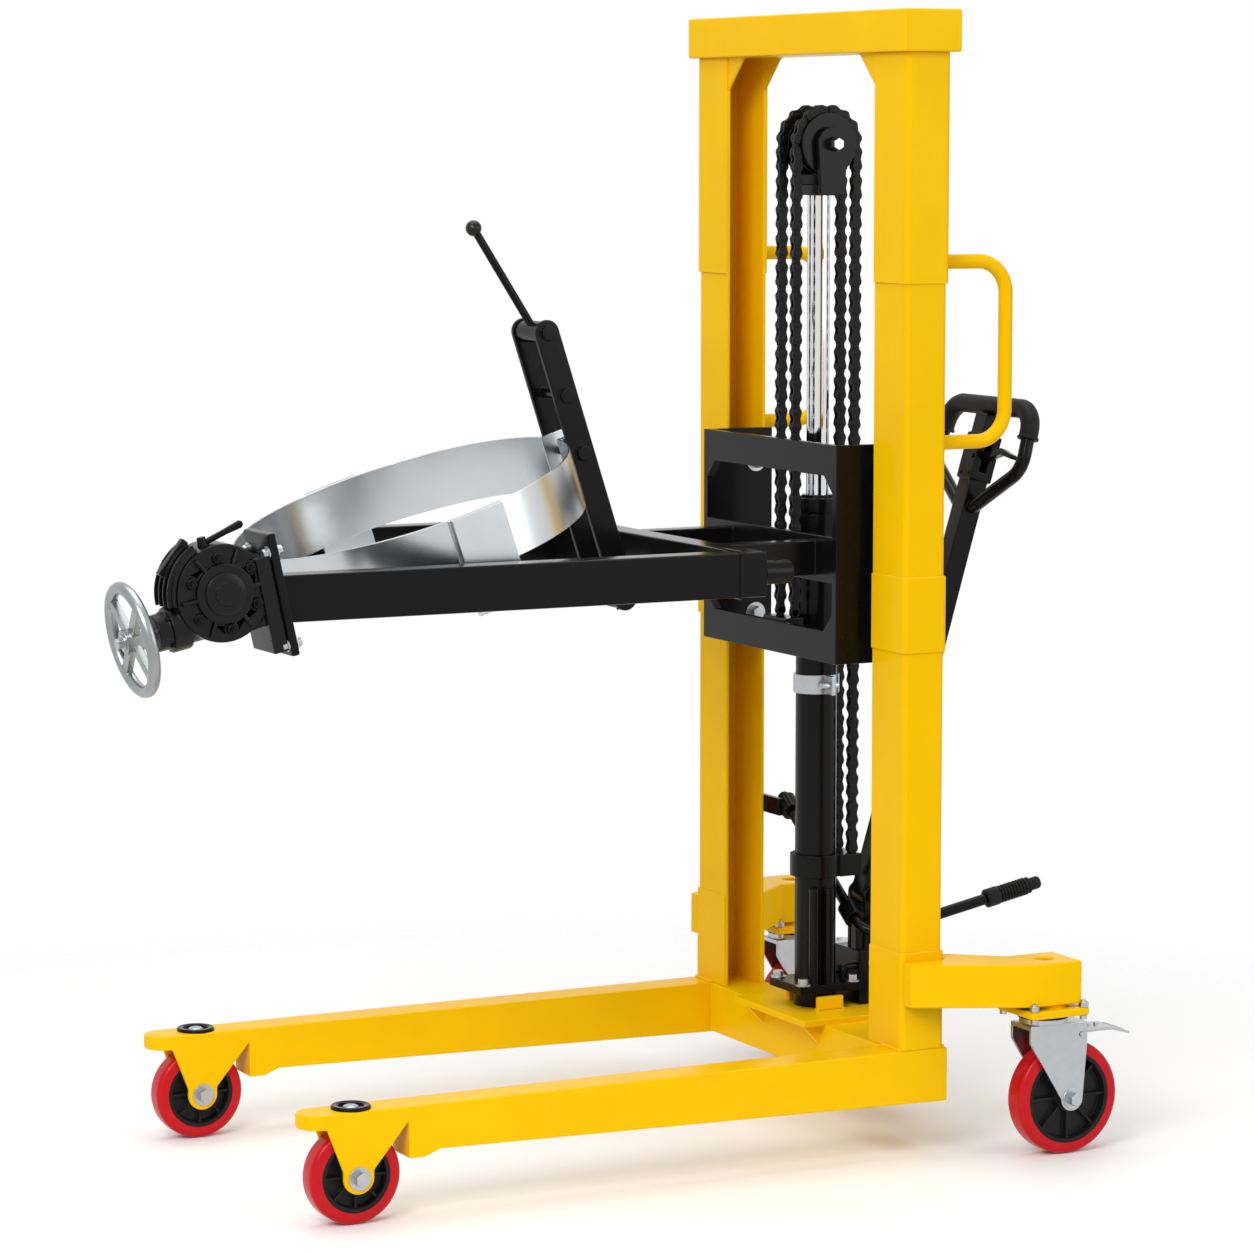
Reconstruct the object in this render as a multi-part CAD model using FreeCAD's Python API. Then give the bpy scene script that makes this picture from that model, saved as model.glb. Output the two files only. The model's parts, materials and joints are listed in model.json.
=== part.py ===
import FreeCAD, Part
import math
import os

# Drum tipper: a hand-pumped lifting mast on straddle legs, with a tilting band clamp.
# Millimetres, +Z up, front is -X, the gearbox side is -Y. Worked out about the mast's
# column line, then moved so that the origin is the bottom centre of the whole machine.

# Clearances
running_clearance = 0.05
gap_clearance = 0.5
wheel_clearance = 8.0

# Bent bars and rims are drawn in this many flats
bar_flats = 16

# Base legs
leg_spacing = 690.0
leg_width = 70.0
leg_top = 190.0
leg_rear_depth = 95.0
leg_front_depth = 75.0
leg_wall = 5.0
leg_rear_x = 50.0
front_axle_x = -1060.0
nose_reach = 95.0
nose_plate = 25.0
ear_thickness = 10.0
ear_top_length = 130.0
ear_end_radius = 27.0
step_block_length = 60.0
step_block_depth = 12.0
ear_knee = 12.0
ear_lead = 10.0
nose_cap_radius = 33.0
nose_cap_height = 7.0
nose_cap_bore = 20.0

# Wheels
front_wheel_diameter = 160.0
front_tyre_width = 44.0
front_axle_radius = 10.0
axle_head = 8.0
caster_wheel_diameter = 200.0
caster_tyre_width = 46.0
caster_axle_radius = 10.0
tyre_thickness = 20.0
tyre_shoulder = 6.0
caster_x = 200.0
caster_spacing = 900.0
caster_trail = 40.0
caster_plate_bottom = 250.0
caster_plate_thickness = 14.0
caster_plate_size = 116.0
fork_wall = 6.0
fork_gap = 3.0
raceway_radius = 42.0
raceway_height = 16.0
fork_crown = 8.0
king_pin_radius = 12.0
brake_length = 104.0
brake_pin_radius = 4.0
brake_boss = 8.0

# Mast
column_spacing = 640.0
column_depth = 80.0
column_flange = 110.0
column_wall = 6.0
sleeve_step = 3.0
column_top = 1900.0
base_sleeve_top = 360.0
middle_sleeve_bottom = 880.0
middle_sleeve_height = 130.0
top_sleeve_bottom = 1510.0
header_height = 72.0
header_depth = 112.0
header_overhang = 16.0
header_wall = 6.0
gusset_size = 60.0
grab_radius = 12.5
grab_top = 1545.0
grab_height = 310.0
grab_reach = 150.0
grab_bend = 55.0

# Cross-beam, base plate and outriggers
beam_half_depth = 50.0
beam_bottom = 100.0
beam_wall = 6.0
base_plate_thickness = 12.0
base_plate_front = -95.0
base_plate_rear = 165.0
base_plate_half_width = 130.0
outrigger_bottom = 270.0
outrigger_top = 345.0
outrigger_wall = 8.0
outrigger_end = 48.0
outrigger_root = 26.0
outrigger_lap = 10.0
outrigger_post_inset = 6.0
socket_radius = 16.0
socket_depth = 30.0

# Hydraulic cylinder
foot_radius = 38.0
foot_height = 30.0
flange_thickness = 16.0
flange_half_x = 62.0
flange_half_y = 58.0
barrel_radius = 37.0
barrel_bore = 31.0
barrel_top = 1095.0
gland_height = 25.0
gland_radius = 43.0
rod_radius = 20.0
piston_height = 40.0
side_tube_radius = 9.0
side_tube_top = 420.0
side_tube_gap = 2.0
clip_height = 770.0
clip_width = 34.0

# Lift chain
sheave_drop = 155.0
sheave_radius = 60.0
chain_pitch = 25.4
chain_plate_height = 19.0
chain_inner_width = 8.0
chain_plate_thickness = 4.0
chain_offset = 26.0
run_drop = 14.0
anchor_seat = 470.0
lift_seat = 45.0
link_end_share = 0.42
anchor_height = 40.0
sheave_pin_radius = 12.0
yoke_wall = 10.0
sheave_width = 24.0

# Carriage
lift_travel = 580.0
arm_z = 1030.0
roller_radius = 33.6
roller_width = 56.0
roller_pin_radius = 12.5
pin_end_gap = 3.0
roller_offset = 140.0
side_plate_inset = 22.0
side_plate_thickness = 15.0
carriage_below = 180.0
carriage_above = 200.0
cross_plate_x = -86.0
cross_plate_thickness = 14.0
cross_plate_height = 80.0
cross_bar_height = 55.0
window_corner = 30.0
beam_offset = 150.0
beam_width = 40.0
beam_height = 60.0
yoke_front_x = -359.0
yoke_width = 50.0
arm_spacing = 710.0
arm_width = 46.0
arm_height = 76.0
arm_wall = 5.0
far_arm_end = -845.0
stub_radius = 20.0
stub_length = 54.0
stub_bore = 9.0
stub_bore_depth = 40.0

# Clamp ring, measured from the trunnion axis along the ring's own axis
trunnion_x = -770.0
trunnion_drop = 8.0
trunnion_radius = 12.5
bush_radius = 22.0
bush_length = 14.0
clamp_lean = 18.0
load_diameter = 585.0
band_clearance = 2.5
band_thickness = 4.0
band_height = 100.0
band_offset = 85.0
front_split = 16.0
rear_split = 60.0
lug_thickness = 10.0
front_lug_reach = 42.0
lug_height = 80.0
trunnion_plate_width = 96.0
trunnion_plate_thickness = 10.0
trunnion_plate_drop = 32.0
bar_width = 45.0
bar_thickness = 10.0
bar_standoff = 5.0
bar_bottom = -190.0
bar_top = 340.0
bar_pin_radius = 8.0
bar_pin_heights = (318.0, 205.0, 100.0)
pin_head_radius = 13.0
pin_head_height = 8.0
lever_length = 200.0
lever_lean = 15.0
knob_radius = 14.0
knob_foot = 2.0
knob_steps = 6
lever_stem = 7.0
cam_radius = 19.0

# Tilt drive
gear_x = -1185.0
gear_slant = 12.0
mount_plate_thickness = 14.0
mount_plate_half_width = 52.0
mount_plate_up = 112.0
mount_plate_down = 88.0
case_radius = 78.0
case_half_width = 40.0
case_boss = 8.0
case_boss_share = 0.62
case_bolts = 6
bolt_circle = 58.0
bolt_lug = 9.0
foot_thickness = 26.0
foot_half_width = 46.0
foot_half_height = 78.0
bridge_half_width = 34.0
bridge_drop = 22.0
case_x = -100.0
case_z = 38.0
cover_thickness = 7.0
cover_rib = 6.0
cover_rib_count = 4
cover_turn = 20.0
neck_radius = 30.0
neck_flange = 7.0
neck_root = 60.0
neck_tip = 22.0
neck_front = -214.0
neck_z = -2.0
input_radius = 10.0
input_seat = 50.0
wheel_centre = -250.0
handwheel_radius = 84.0
handwheel_rim = 10.0
handwheel_hub = 20.0
hub_front = -16.0
hub_rear = 22.0
input_end = -12.0
spoke_width = 17.0
spoke_depth = 12.0
spoke_count = 4
drive_shaft_radius = 7.0
worm_radius = 9.0
worm_length = 70.0
worm_wheel_teeth = 20
worm_wheel_module = 2.0
worm_wheel_width = 16.0
shaft_block = 24.0
shaft_lead = 30.0

# Pump, handle and pedal
pump_front = 66.0
pump_rear = 162.0
pump_half_width = 46.0
pump_height = 98.0
handle_pivot_x = 105.0
handle_pivot_z = 395.0
handle_pin_radius = 8.0
clevis_half_gap = 22.0
clevis_wall = 9.0
clevis_radius = 20.0
plunger_radius = 10.0
plunger_offset = 36.0
heel_radius = 8.0
plunger_head = 14.0
plunger_head_height = 8.0
plunger_stroke = 32.0
plunger_guide_radius = 17.0
handle_lean = 16.5
handle_length = 915.0
handle_bar_depth = 38.0
handle_bar_width = 40.0
loop_half_width = 150.0
loop_height = 190.0
loop_radius = 12.5
loop_bend = 45.0
grip_radius = 17.5
grip_bend_share = 0.5
trigger_length = 100.0
trigger_thickness = 14.0
trigger_boss = 9.0
trigger_pin_radius = 4.0
collar_step = 4.0
collar_low = 50.0
collar_high = 135.0
trigger_rise = 92.0
trigger_slot_down = 26.0
trigger_slot_up = 36.0
handle_wall = 4.0
pedal_radius = 10.0
pedal_top = (66.0, 240.0, 545.0)
pedal_bend = (62.0, -75.0, 330.0)
pedal_end = (392.0, -110.0, 408.0)
pedal_bend_radius = 45.0
pedal_grip_radius = 17.0
pedal_grip_length = 110.0
pedal_grip_end = 12.0
pedal_ribs = 6
pedal_rib_depth = 2.5
collar_radius = 19.0
collar_length = 34.0
pipe_radius = 6.0
pipe_bend = 10.0
pipe_height = 70.0
pipe_inset = 24.0

# Worked-out places
leg_y = leg_spacing / 2
head_rear = front_axle_x + front_wheel_diameter / 2 + wheel_clearance
column_y = column_spacing / 2
column_inner = column_y - column_flange / 2
column_outer = column_y + column_flange / 2
half_depth = column_depth / 2
arm_y = arm_spacing / 2
front_wheel_radius = front_wheel_diameter / 2
caster_wheel_radius = caster_wheel_diameter / 2
caster_y = caster_spacing / 2
base_plate_top = leg_top + base_plate_thickness
flange_bottom = base_plate_top + foot_height
barrel_bottom = flange_bottom + flange_thickness
gland_top = barrel_top + gland_height
trunnion_z = arm_z - trunnion_drop
ring_inner = load_diameter / 2 + band_clearance
ring_outer = ring_inner + band_thickness
worm_wheel_pitch = worm_wheel_module * worm_wheel_teeth / 2
shaft_z = trunnion_z + worm_wheel_pitch + worm_radius
carriage_bottom = arm_z - carriage_below
carriage_top = arm_z + carriage_above
side_plate_outer = column_inner - side_plate_inset
sheave_z = column_top - sheave_drop
run_top = sheave_z - run_drop
link_end = chain_plate_height * link_end_share
anchor_links = int((run_top - link_end - anchor_seat) / chain_pitch)
lift_links = int((run_top - link_end - carriage_bottom - lift_seat) / chain_pitch)
anchor_top = run_top - anchor_links * chain_pitch - link_end
lift_anchor_top = run_top - lift_links * chain_pitch - link_end

ORIGIN = FreeCAD.Vector(0, 0, 0)
X_AXIS = FreeCAD.Vector(1, 0, 0)
Y_AXIS = FreeCAD.Vector(0, 1, 0)
Z_AXIS = FreeCAD.Vector(0, 0, 1)

nodes = {}


def point(x, y, z):
    return FreeCAD.Vector(x, y, z)


def block(x, y, z):
    """A box between pairs of limits."""
    return Part.makeBox(x[1] - x[0], y[1] - y[0], z[1] - z[0], point(x[0], y[0], z[0]))


def round_bar(start, end, radius):
    """A solid cylinder between two points."""
    span = end.sub(start)
    return Part.makeCylinder(radius, span.Length, start, span)


def pipe_piece(start, end, outer, inner):
    """A straight tube between two points."""
    return round_bar(start, end, outer).cut(round_bar(start, end, inner))


def prism(corners, depth):
    """A closed outline of corners, pushed along a vector."""
    return Part.Face(Part.makePolygon(corners + [corners[0]])).extrude(depth)


def turned(outline, axis_point, axis):
    """A closed outline of corners, turned about an axis."""
    return Part.Face(Part.makePolygon(outline + [outline[0]])).revolve(axis_point, axis, 360)


def joined(shapes):
    """Several shapes fused to one clean solid."""
    return shapes[0].fuse(shapes[1:]).removeSplitter()


def mirrored(shape):
    """The same piece on the other side of the machine."""
    return shape.mirror(ORIGIN, Y_AXIS)


def rounded_path(corners, radius):
    """An open run of straight lines joined by tangent arcs of one radius."""
    edges = []
    start = corners[0]
    for before, corner, after in zip(corners, corners[1:], corners[2:]):
        into = corner.sub(before).normalize()
        out = after.sub(corner).normalize()
        turn = into.getAngle(out)
        cut = radius * math.tan(turn / 2)
        first = corner.sub(into * cut)
        last = corner.add(out * cut)
        inward = out.sub(into).normalize()
        middle = corner.add(inward * (radius / math.cos(turn / 2) - radius))
        edges.append(Part.LineSegment(start, first).toShape())
        edges.append(Part.Arc(first, middle, last).toShape())
        start = last
    edges.append(Part.LineSegment(start, corners[-1]).toShape())
    return Part.Wire(edges)


def swept_round(corners, bend, radius):
    """A round bar along straight runs and bends."""
    path = rounded_path(corners, bend)
    heading = corners[1].sub(corners[0])
    ring = Part.Wire(Part.makeCircle(radius, corners[0], heading))
    shell = Part.BRepOffsetAPI.MakePipeShell(path)
    shell.add(ring)
    shell.build()
    shell.makeSolid()
    return shell.shape()


def swept_bar(corners, bend, radius):
    """A bent bar that lies in one plane, round but for narrow flats."""
    heading = corners[1].sub(corners[0]).normalize()
    across = heading.cross(corners[2].sub(corners[1])).normalize()
    beside = heading.cross(across)
    ring = []
    for index in range(bar_flats):
        turn = 2 * math.pi * index / bar_flats
        reach = across * (radius * math.cos(turn)) + beside * (radius * math.sin(turn))
        ring.append(corners[0].add(reach))
    shell = Part.BRepOffsetAPI.MakePipeShell(rounded_path(corners, bend))
    shell.add(Part.makePolygon(ring + [ring[0]]))
    shell.build()
    shell.makeSolid()
    return shell.shape()


def keep(name, shape):
    nodes[name] = shape


# Base legs

def leg_profile(inset):
    """Side outline of a leg's box, inset from its outer faces."""
    rear = leg_rear_x - inset
    front = head_rear + inset
    return [
        point(rear, 0, leg_top - inset),
        point(front, 0, leg_top - inset),
        point(front, 0, leg_top - leg_front_depth + inset),
        point(rear, 0, leg_top - leg_rear_depth + inset),
    ]


def leg():
    """Leg on the -Y side: tapered box, bull-nosed head and wheel ears."""
    half = leg_width / 2
    outer = prism(leg_profile(0), Y_AXIS * leg_width)
    inner = prism(leg_profile(leg_wall), Y_AXIS * (leg_width - 2 * leg_wall))
    inner.translate(Y_AXIS * leg_wall)
    shell = outer.cut(inner)
    shell.translate(Y_AXIS * -half)
    nose_centre = front_axle_x - nose_reach + half
    head = block((nose_centre, head_rear), (-half, half), (leg_top - nose_plate, leg_top))
    nose = round_bar(point(nose_centre, 0, leg_top - nose_plate), point(nose_centre, 0, leg_top), half)
    pieces = [shell, head, nose]
    step_top = leg_top - leg_front_depth
    step = [
        point(head_rear, -half, step_top),
        point(head_rear + step_block_length, -half, step_top),
        point(head_rear + step_block_length / 2, -half, step_top - step_block_depth),
        point(head_rear, -half, step_top - step_block_depth),
    ]
    pieces.append(prism(step, Y_AXIS * leg_width))
    ear_front = front_axle_x - ear_top_length / 2 + ear_lead
    for side in (-half, half - ear_thickness):
        ear = [
            point(head_rear, side, leg_top - nose_plate),
            point(ear_front, side, leg_top - nose_plate),
            point(front_axle_x - ear_end_radius, side, front_wheel_radius + ear_knee),
            point(front_axle_x - ear_end_radius, side, front_wheel_radius),
            point(front_axle_x + ear_end_radius, side, front_wheel_radius),
            point(front_axle_x + ear_end_radius, side, front_wheel_radius + ear_knee),
        ]
        pieces.append(prism(ear, Y_AXIS * ear_thickness))
        low = point(front_axle_x, side, front_wheel_radius)
        pieces.append(round_bar(low, low.add(Y_AXIS * ear_thickness), ear_end_radius))
    whole = joined(pieces)
    bore = round_bar(
        point(front_axle_x, -leg_width, front_wheel_radius),
        point(front_axle_x, leg_width, front_wheel_radius),
        front_axle_radius,
    )
    whole = whole.cut(bore)
    whole.translate(Y_AXIS * -leg_y)
    return whole


def nose_cap():
    """Ring cap with its bolt, on top of a leg's nose."""
    low = point(front_axle_x, -leg_y, leg_top)
    ring = pipe_piece(low, low.add(Z_AXIS * nose_cap_height), nose_cap_radius, nose_cap_bore)
    bolt = round_bar(low, low.add(Z_AXIS * (nose_cap_height - 2.0)), nose_cap_bore)
    return joined([ring, bolt])


def front_axle():
    """Axle pin across the ears, with a plain head proud of each ear."""
    half = leg_width / 2
    middle = point(front_axle_x, -leg_y, front_wheel_radius)
    pin = round_bar(middle.sub(Y_AXIS * half), middle.add(Y_AXIS * half), front_axle_radius)
    heads = [pin]
    for side in (-1, 1):
        face = middle.add(Y_AXIS * (side * half))
        heads.append(round_bar(face, face.add(Y_AXIS * (side * axle_head)), front_axle_radius + 4.0))
    return joined(heads)


keep("near_leg", leg())
keep("far_leg", mirrored(leg()))
keep("nose_caps", Part.makeCompound([nose_cap(), mirrored(nose_cap())]))
keep("front_axles", Part.makeCompound([front_axle(), mirrored(front_axle())]))


# Wheels

def tyre(radius, width, middle):
    """Solid tyre with rounded shoulders, on its side about Y."""
    half = width / 2
    inner = radius - tyre_thickness
    outline = [
        point(inner, -half, 0),
        point(radius - tyre_shoulder, -half, 0),
        point(radius, -half + tyre_shoulder, 0),
        point(radius, half - tyre_shoulder, 0),
        point(radius - tyre_shoulder, half, 0),
        point(inner, half, 0),
    ]
    ring = turned(outline, ORIGIN, Y_AXIS)
    ring.translate(middle)
    return ring


def hub(radius, width, bore, middle):
    """Dished hub with a boss, a rim and radial ribs."""
    half = width / 2
    rim = radius - tyre_thickness
    outline = [
        point(bore + running_clearance, -half - 1.0, 0),
        point(bore + 14.0, -half - 1.0, 0),
        point(bore + 16.0, -8.0, 0),
        point(rim - 10.0, -8.0, 0),
        point(rim - 7.0, -half, 0),
        point(rim, -half, 0),
        point(rim, half, 0),
        point(rim - 7.0, half, 0),
        point(rim - 10.0, 8.0, 0),
        point(bore + 16.0, 8.0, 0),
        point(bore + 14.0, half + 1.0, 0),
        point(bore + running_clearance, half + 1.0, 0),
    ]
    body = turned(outline, ORIGIN, Y_AXIS)
    ribs = []
    for index in range(8):
        rib = block((bore + 10.0, rim - 6.0), (-half + 5.0, half - 5.0), (-2.5, 2.5))
        rib.rotate(ORIGIN, Y_AXIS, 45.0 * index)
        ribs.append(rib)
    body = joined([body] + ribs)
    body.translate(middle)
    return body


front_middle = point(front_axle_x, -leg_y, front_wheel_radius)
keep("near_front_tyre", tyre(front_wheel_radius, front_tyre_width, front_middle))
keep("near_front_hub", hub(front_wheel_radius, front_tyre_width, front_axle_radius, front_middle))
keep("far_front_tyre", mirrored(nodes["near_front_tyre"]))
keep("far_front_hub", mirrored(nodes["near_front_hub"]))

caster_middle = point(caster_x + caster_trail, -caster_y, caster_wheel_radius)
keep("near_caster_tyre", tyre(caster_wheel_radius, caster_tyre_width, caster_middle))
keep("near_caster_hub", hub(caster_wheel_radius, caster_tyre_width, caster_axle_radius, caster_middle))
keep("far_caster_tyre", mirrored(nodes["near_caster_tyre"]))
keep("far_caster_hub", mirrored(nodes["near_caster_hub"]))


# Swivel casters

fork_half = caster_tyre_width / 2 + 1.0 + fork_gap
fork_top = caster_plate_bottom - raceway_height
brake_x = caster_x + caster_trail + 18.0
brake_z = fork_top - 22.0


def caster_fork():
    """Pressed fork: crown, two tapered cheeks, raceway and king pin, axle bolt."""
    crown = block(
        (caster_x - raceway_radius - 4.0, caster_x + caster_trail + 30.0),
        (-fork_half - fork_wall, fork_half + fork_wall),
        (fork_top - fork_crown, fork_top),
    )
    pieces = [crown]
    for side in (-fork_half - fork_wall, fork_half):
        cheek = [
            point(caster_x - raceway_radius - 4.0, side, fork_top),
            point(caster_x - raceway_radius - 4.0, side, fork_top - 30.0),
            point(caster_x + caster_trail - 22.0, side, caster_wheel_radius),
            point(caster_x + caster_trail + 22.0, side, caster_wheel_radius),
            point(caster_x + caster_trail + 30.0, side, fork_top - 40.0),
            point(caster_x + caster_trail + 30.0, side, fork_top),
        ]
        pieces.append(prism(cheek, Y_AXIS * fork_wall))
        low = point(caster_x + caster_trail, side, caster_wheel_radius)
        pieces.append(round_bar(low, low.add(Y_AXIS * fork_wall), 22.0))
    reach = fork_half + fork_wall + 7.0
    pieces.append(round_bar(
        point(caster_x + caster_trail, -reach, caster_wheel_radius),
        point(caster_x + caster_trail, reach, caster_wheel_radius),
        caster_axle_radius,
    ))
    race = point(caster_x, 0, fork_top)
    pieces.append(round_bar(race, race.add(Z_AXIS * (raceway_height - gap_clearance)), raceway_radius))
    pin_top = caster_plate_bottom + caster_plate_thickness - 2.0
    pieces.append(round_bar(race, point(caster_x, 0, pin_top), king_pin_radius))
    whole = joined(pieces)
    whole = whole.cut(round_bar(
        point(brake_x, -reach, brake_z), point(brake_x, reach, brake_z), brake_pin_radius + running_clearance
    ))
    whole.translate(Y_AXIS * -caster_y)
    return whole


def caster_brake():
    """Brake pedal: a bent plate on its pin between the fork's cheeks, with its tread."""
    half = fork_half - 2.0
    rear = brake_x + brake_length
    outline = [
        point(brake_x, -half, brake_z + brake_boss),
        point(rear - 34.0, -half, brake_z + 6.0),
        point(rear, -half, brake_z - 6.0),
        point(rear, -half, brake_z - 10.0),
        point(rear - 36.0, -half, brake_z),
        point(brake_x, -half, brake_z),
    ]
    reach = fork_half + fork_wall + 3.0
    pedal = joined([
        prism(outline, Y_AXIS * (2 * half)),
        round_bar(point(brake_x, -half, brake_z), point(brake_x, half, brake_z), brake_boss),
        round_bar(point(brake_x, -reach, brake_z), point(brake_x, reach, brake_z), brake_pin_radius),
    ])
    pedal.translate(Y_AXIS * -caster_y)
    return pedal


keep("near_caster_fork", caster_fork())
keep("far_caster_fork", mirrored(caster_fork()))
keep("near_brake", caster_brake())
keep("far_brake", mirrored(caster_brake()))


# Cross-beam with base plate, and outriggers

def base_beam():
    """Box beam between the legs, with the plate that carries the cylinder and the pump."""
    inner_leg = leg_y - leg_width / 2
    tube = block((-beam_half_depth, beam_half_depth), (-inner_leg, inner_leg), (beam_bottom, leg_top))
    hollow = block(
        (-beam_half_depth + beam_wall, beam_half_depth - beam_wall),
        (-inner_leg + beam_wall, inner_leg - beam_wall),
        (beam_bottom + beam_wall, leg_top - beam_wall),
    )
    plate = block(
        (base_plate_front, base_plate_rear),
        (-base_plate_half_width, base_plate_half_width),
        (leg_top, base_plate_top),
    )
    pieces = [tube.cut(hollow), plate]
    for y in (-base_plate_half_width + 20.0, base_plate_half_width - 32.0):
        rear = [
            point(beam_half_depth, y, leg_top),
            point(base_plate_rear - 10.0, y, leg_top),
            point(beam_half_depth, y, beam_bottom + 10.0),
        ]
        front = [
            point(-beam_half_depth, y, leg_top),
            point(base_plate_front + 8.0, y, leg_top),
            point(-beam_half_depth, y, leg_top - 40.0),
        ]
        pieces.append(prism(rear, Y_AXIS * 12.0))
        pieces.append(prism(front, Y_AXIS * 12.0))
    return joined(pieces)


def outrigger():
    """Arm from the column's foot to the caster: channel, end block with its top socket, flange."""
    side = column_outer + sleeve_step
    back = half_depth + sleeve_step
    outline = [
        point(-half_depth, -side, outrigger_bottom),
        point(-half_depth, -side - outrigger_root, outrigger_bottom),
        point(caster_x - outrigger_end, -caster_y - outrigger_end, outrigger_bottom),
        point(caster_x + outrigger_end, -caster_y - outrigger_end, outrigger_bottom),
        point(caster_x + outrigger_end, -caster_y + outrigger_end, outrigger_bottom),
        point(caster_x - outrigger_end, -caster_y + outrigger_end, outrigger_bottom),
        point(back, -column_y + outrigger_lap, outrigger_bottom),
        point(back, -side, outrigger_bottom),
    ]
    face = Part.Face(Part.makePolygon(outline + [outline[0]]))
    arm = face.extrude(Z_AXIS * (outrigger_top - outrigger_bottom))
    hollow = face.makeOffset2D(-outrigger_wall).extrude(
        Z_AXIS * (outrigger_top - outrigger_bottom - outrigger_wall)
    )
    arm = arm.cut(hollow)
    plate_top = caster_plate_bottom + caster_plate_thickness
    column = round_bar(
        point(caster_x, -caster_y, plate_top),
        point(caster_x, -caster_y, outrigger_top),
        outrigger_end - outrigger_post_inset,
    )
    half = caster_plate_size / 2
    plate = block(
        (caster_x - half, caster_x + half),
        (-caster_y - half, -caster_y + half),
        (caster_plate_bottom, plate_top),
    )
    whole = joined([arm, column, plate])
    socket = round_bar(
        point(caster_x, -caster_y, outrigger_top - socket_depth),
        point(caster_x, -caster_y, outrigger_top),
        socket_radius,
    )
    pin_hole = round_bar(
        point(caster_x, -caster_y, caster_plate_bottom),
        point(caster_x, -caster_y, plate_top),
        king_pin_radius + running_clearance,
    )
    return whole.cut(socket).cut(pin_hole)


keep("base_beam", base_beam())
keep("near_outrigger", outrigger())
keep("far_outrigger", mirrored(outrigger()))


# Mast

def channel(extra, low, high):
    """A length of column on the -Y side, open towards the middle, thicker by extra outside."""
    outer = block(
        (-half_depth - extra, half_depth + extra),
        (-column_outer - extra, -column_inner),
        (low, high),
    )
    inner = block(
        (-half_depth + column_wall, half_depth - column_wall),
        (-column_outer + column_wall, -column_inner),
        (low, high),
    )
    return outer.cut(inner)


def column():
    middle_top = middle_sleeve_bottom + middle_sleeve_height
    return joined([
        channel(0, leg_top, column_top),
        channel(sleeve_step, leg_top, base_sleeve_top),
        channel(sleeve_step, middle_sleeve_bottom, middle_top),
        channel(sleeve_step, top_sleeve_bottom, column_top),
    ])


def header():
    """Box beam over both columns, with gussets in line with their flanges."""
    reach = column_outer + header_overhang
    half = header_depth / 2
    tube = block((-half, half), (-reach, reach), (column_top, column_top + header_height))
    hollow = block(
        (-half + header_wall, half - header_wall),
        (-reach + header_wall, reach - header_wall),
        (column_top + header_wall, column_top + header_height - header_wall),
    )
    pieces = [tube.cut(hollow)]
    for x in (-half_depth, half_depth - column_wall):
        for side in (-1, 1):
            corner = [
                point(x, side * column_inner, column_top),
                point(x, side * (column_inner - gusset_size), column_top),
                point(x, side * column_inner, column_top - gusset_size),
            ]
            pieces.append(prism(corner, X_AXIS * column_wall))
    return joined(pieces)


def grab_handle():
    """D-shaped grab handle on the back of a column."""
    top = half_depth + sleeve_step
    out = half_depth + grab_reach
    low = grab_top - grab_height
    corners = [
        point(top, -column_y, grab_top),
        point(out, -column_y, grab_top),
        point(out, -column_y, low),
        point(half_depth, -column_y, low),
    ]
    return swept_bar(corners, grab_bend, grab_radius)


keep("near_column", column())
keep("far_column", mirrored(column()))
keep("header_beam", header())
keep("grab_handles", Part.makeCompound([grab_handle(), mirrored(grab_handle())]))


# Hydraulic cylinder

def barrel():
    """Foot, flange, barrel and gland as one welded cylinder, bored for the rod."""
    pieces = [
        round_bar(point(0, 0, base_plate_top), point(0, 0, flange_bottom), foot_radius),
        block(
            (-flange_half_x, flange_half_x),
            (-flange_half_y, flange_half_y),
            (flange_bottom, barrel_bottom),
        ),
        round_bar(point(0, 0, barrel_bottom), point(0, 0, barrel_top), barrel_radius),
        round_bar(point(0, 0, barrel_top), point(0, 0, gland_top), gland_radius),
    ]
    tube_reach = barrel_radius + side_tube_radius + side_tube_gap
    for turn in (88.0, 122.0):
        x = tube_reach * math.cos(math.radians(turn))
        y = -tube_reach * math.sin(math.radians(turn))
        pieces.append(round_bar(point(x, y, barrel_bottom), point(x, y, side_tube_top), side_tube_radius))
    whole = joined(pieces)
    bore = round_bar(point(0, 0, barrel_bottom + 10.0), point(0, 0, barrel_top), barrel_bore)
    gland = round_bar(point(0, 0, barrel_top), point(0, 0, gland_top), rod_radius + running_clearance)
    return whole.cut(bore).cut(gland)


def barrel_clip():
    """Clamp ring on the barrel with a bolt lug towards the front."""
    low = point(0, 0, clip_height)
    ring = pipe_piece(low, low.add(Z_AXIS * clip_width), barrel_radius + 4.0, barrel_radius)
    lug = block(
        (-4.0, 4.0), (-barrel_radius - 26.0, -barrel_radius - 1.0), (clip_height, clip_height + clip_width)
    )
    bolt = round_bar(
        point(-14.0, -barrel_radius - 16.0, clip_height + clip_width / 2),
        point(14.0, -barrel_radius - 16.0, clip_height + clip_width / 2),
        6.0,
    )
    whole = joined([ring, lug, bolt])
    return whole.cut(round_bar(low, low.add(Z_AXIS * clip_width), barrel_radius))


def piston_rod():
    """Chrome rod up to the sheave yoke, with its piston at the gland."""
    piston_top = barrel_top - 4.0
    piston_low = piston_top - piston_height
    yoke_bottom = sheave_z - sheave_radius - 30.0
    return joined([
        round_bar(point(0, 0, piston_low), point(0, 0, yoke_bottom), rod_radius),
        round_bar(point(0, 0, piston_low), point(0, 0, piston_top), barrel_bore - 0.1),
    ])


keep("cylinder_barrel", barrel())
keep("barrel_clip", barrel_clip())
keep("piston_rod", piston_rod())


# Lift chain, its sheaves and anchors

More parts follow.
